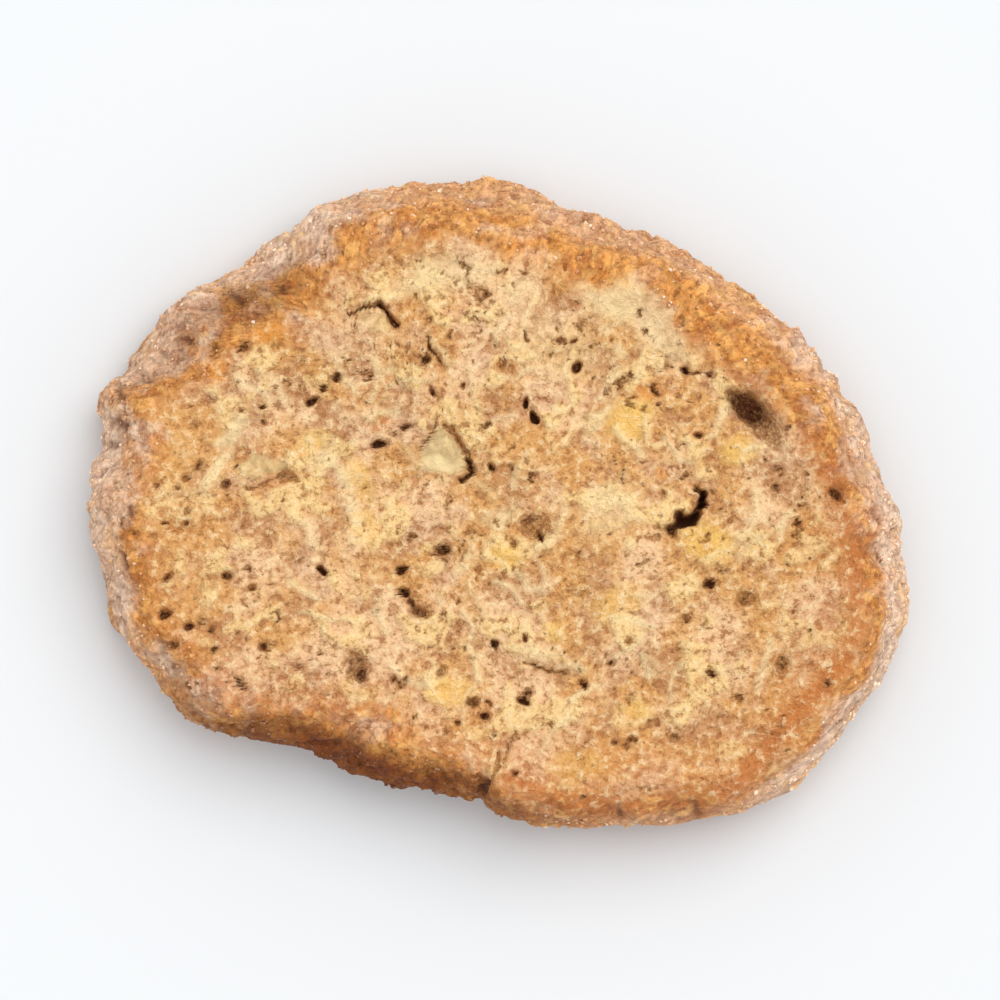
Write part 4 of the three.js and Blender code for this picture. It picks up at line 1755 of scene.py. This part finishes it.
@dataclass
class SugarGrains:
    """Sugar crystals scattered over the crust, in millimetres and shares of a crystal's edge."""

    count: int = 1900
    size: Span = (0.12, 0.28)
    sides: Span = (0.7, 1.1)
    uneven: float = 0.18
    sunk: float = 0.42
    buried: float = 0.22
    lowest: float = 0.7
    least_crust: float = 0.8
    most_toasted: float = 0.45
    frost_shade: float = 0.9
    seed: int = 417

    def build(self, body: bpy.types.Object) -> bpy.types.Object:
        """Scatters the crystals over the finished slice.

        Args:
            body: Slice that they lie on.

        Returns:
            The crystals as one piece.
        """
        draw = np.random.default_rng(self.seed)
        places, outward, browned_and_shaded, frost = self.beds(body.data, draw)
        work = bmesh.new()
        bmesh.ops.create_cube(work, size=1.0)
        corners = np.array([vertex.co for vertex in work.verts])
        sides = np.array([[vertex.index for vertex in face.verts] for face in work.faces])
        work.free()
        count = len(places)
        edge = between(self.size, draw.random(count) ** 2)
        shapes = corners * draw.uniform(*self.sides, (count, 1, 3))
        shapes = shapes + draw.uniform(-self.uneven, self.uneven, (count, len(corners), 3))
        turns = np.array([Euler(turn).to_matrix() for turn in draw.uniform(0, math.tau, (count, 3))])
        shapes = np.einsum("nij,nkj->nki", turns, shapes * edge[:, None, None])
        middles = places + outward * (edge * (0.5 - self.sunk - self.buried * browned_and_shaded))[:, None]
        points = (shapes + middles[:, None, :]).reshape(-1, 3) * MM
        faces = (sides[None] + np.arange(count)[:, None, None] * len(corners)).reshape(-1, 4)
        grains = bpy.data.meshes.new("crust_sugar")
        grains.from_pydata(points.tolist(), [], faces.tolist())
        shade = np.clip(draw.random(count) ** 3 + self.frost_shade * frost, 0, 1)
        for name, values in (("shade", shade), ("browned_and_shaded", browned_and_shaded)):
            write_values(grains, name, np.repeat(values, len(corners)))
        return place_piece("crust_sugar", grains, SugarFinish().material())

    def beds(self, mesh: bpy.types.Mesh, draw: np.random.Generator) -> tuple[Array, Array, Array, Array]:
        """Picks the points of the slice that crystals sit on.

        Args:
            mesh: Slice's mesh.
            draw: Random source.

        Returns:
            The points in millimetres, their normals, how browned and painted with shadow they are, and how
            frosted.
        """
        values = {}
        for name in ("crust", "browned_and_shaded", "toasted", "frost"):
            values[name] = np.empty(len(mesh.vertices), dtype=np.float32)
            mesh.attributes[name].data.foreach_get("value", values[name])
        places, normals = read_points(mesh)
        places = places / MM
        sugared = (values["crust"] > self.least_crust) & (values["toasted"] < self.most_toasted)
        chosen = draw.choice(np.flatnonzero(sugared & (places[:, 2] > self.lowest)), self.count)
        return places[chosen], normals[chosen], values["browned_and_shaded"][chosen], values["frost"][chosen]


@dataclass
class Studio:
    """White tabletop, soft light and the camera above the slice."""

    floor_size: float = 60.0
    floor_drop: float = 0.00005
    camera_elevation: float = 85.0
    camera_distance: float = 0.7
    frame_width: float = 0.078
    sensor: float = 36.0
    sky: float = 0.94
    sky_colour: Colour = (0.95, 0.975, 1.0, 1.0)
    key_power: float = 1.3
    key_spread: float = 50.0
    key_colour: tuple[float, float, float] = (1.0, 0.99, 0.97)
    key_way: tuple[float, float, float] = (0.32, 0.34, 0.88)

    def build(self) -> None:
        """Lays the floor and sets the lights and the camera."""
        self.lay_floor()
        self.set_lights()
        self.set_camera()

    def lay_floor(self) -> None:
        """Lays the tabletop just under the slice."""
        work = bmesh.new()
        bmesh.ops.create_grid(work, x_segments=2, y_segments=2, size=self.floor_size / 2)
        bmesh.ops.translate(work, verts=work.verts, vec=(0, 0, -self.floor_drop))
        mesh = bpy.data.meshes.new("tabletop")
        work.to_mesh(mesh)
        work.free()
        mesh.materials.append(FloorFinish().material())
        floor = bpy.data.objects.new("tabletop", mesh)
        bpy.context.scene.collection.objects.link(floor)

    def set_lights(self) -> None:
        """Sets one soft key light and an even white surround."""
        light = bpy.data.lights.new("key", "SUN")
        light.angle = math.radians(self.key_spread)
        light.energy = self.key_power
        light.color = self.key_colour
        key = bpy.data.objects.new("key", light)
        key.location = self.key_way
        key.rotation_euler = (-Vector(self.key_way)).to_track_quat("-Z", "Y").to_euler()
        bpy.context.scene.collection.objects.link(key)
        world = bpy.data.worlds.new("white_surround")
        world.use_nodes = True
        lit = world.node_tree.nodes["Background"]
        lit.inputs["Color"].default_value = self.sky_colour
        lit.inputs["Strength"].default_value = self.sky
        bpy.context.scene.world = world

    def set_camera(self) -> None:
        """Sets the camera above the slice, a little towards its near side."""
        lens = bpy.data.cameras.new("camera")
        lens.sensor_width = self.sensor
        lens.lens = self.sensor * self.camera_distance / self.frame_width
        camera = bpy.data.objects.new("camera", lens)
        low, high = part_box("biscuit")
        target = (low + high) / 2
        tilt = math.radians(self.camera_elevation)
        back = Vector((0, -math.cos(tilt), math.sin(tilt)))
        camera.location = target + back * self.camera_distance
        camera.rotation_euler = (-back).to_track_quat("-Z", "Y").to_euler()
        bpy.context.scene.collection.objects.link(camera)
        scene = bpy.context.scene
        scene.camera = camera
        scene.view_settings.view_transform = "Standard"


def main() -> None:
    """Builds the slice, its sugar and the studio round them."""
    logging.basicConfig(level=logging.INFO, format="%(name)s: %(message)s")
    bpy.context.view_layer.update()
    body = BiscuitBody(SliceForm()).build()
    LOG.info("%s: %d faces", body.name, len(body.data.polygons))
    sugar = SugarGrains().build(body)
    LOG.info("%s: %d faces", sugar.name, len(sugar.data.polygons))
    Studio().build()


if __name__ == "__main__":
    main()
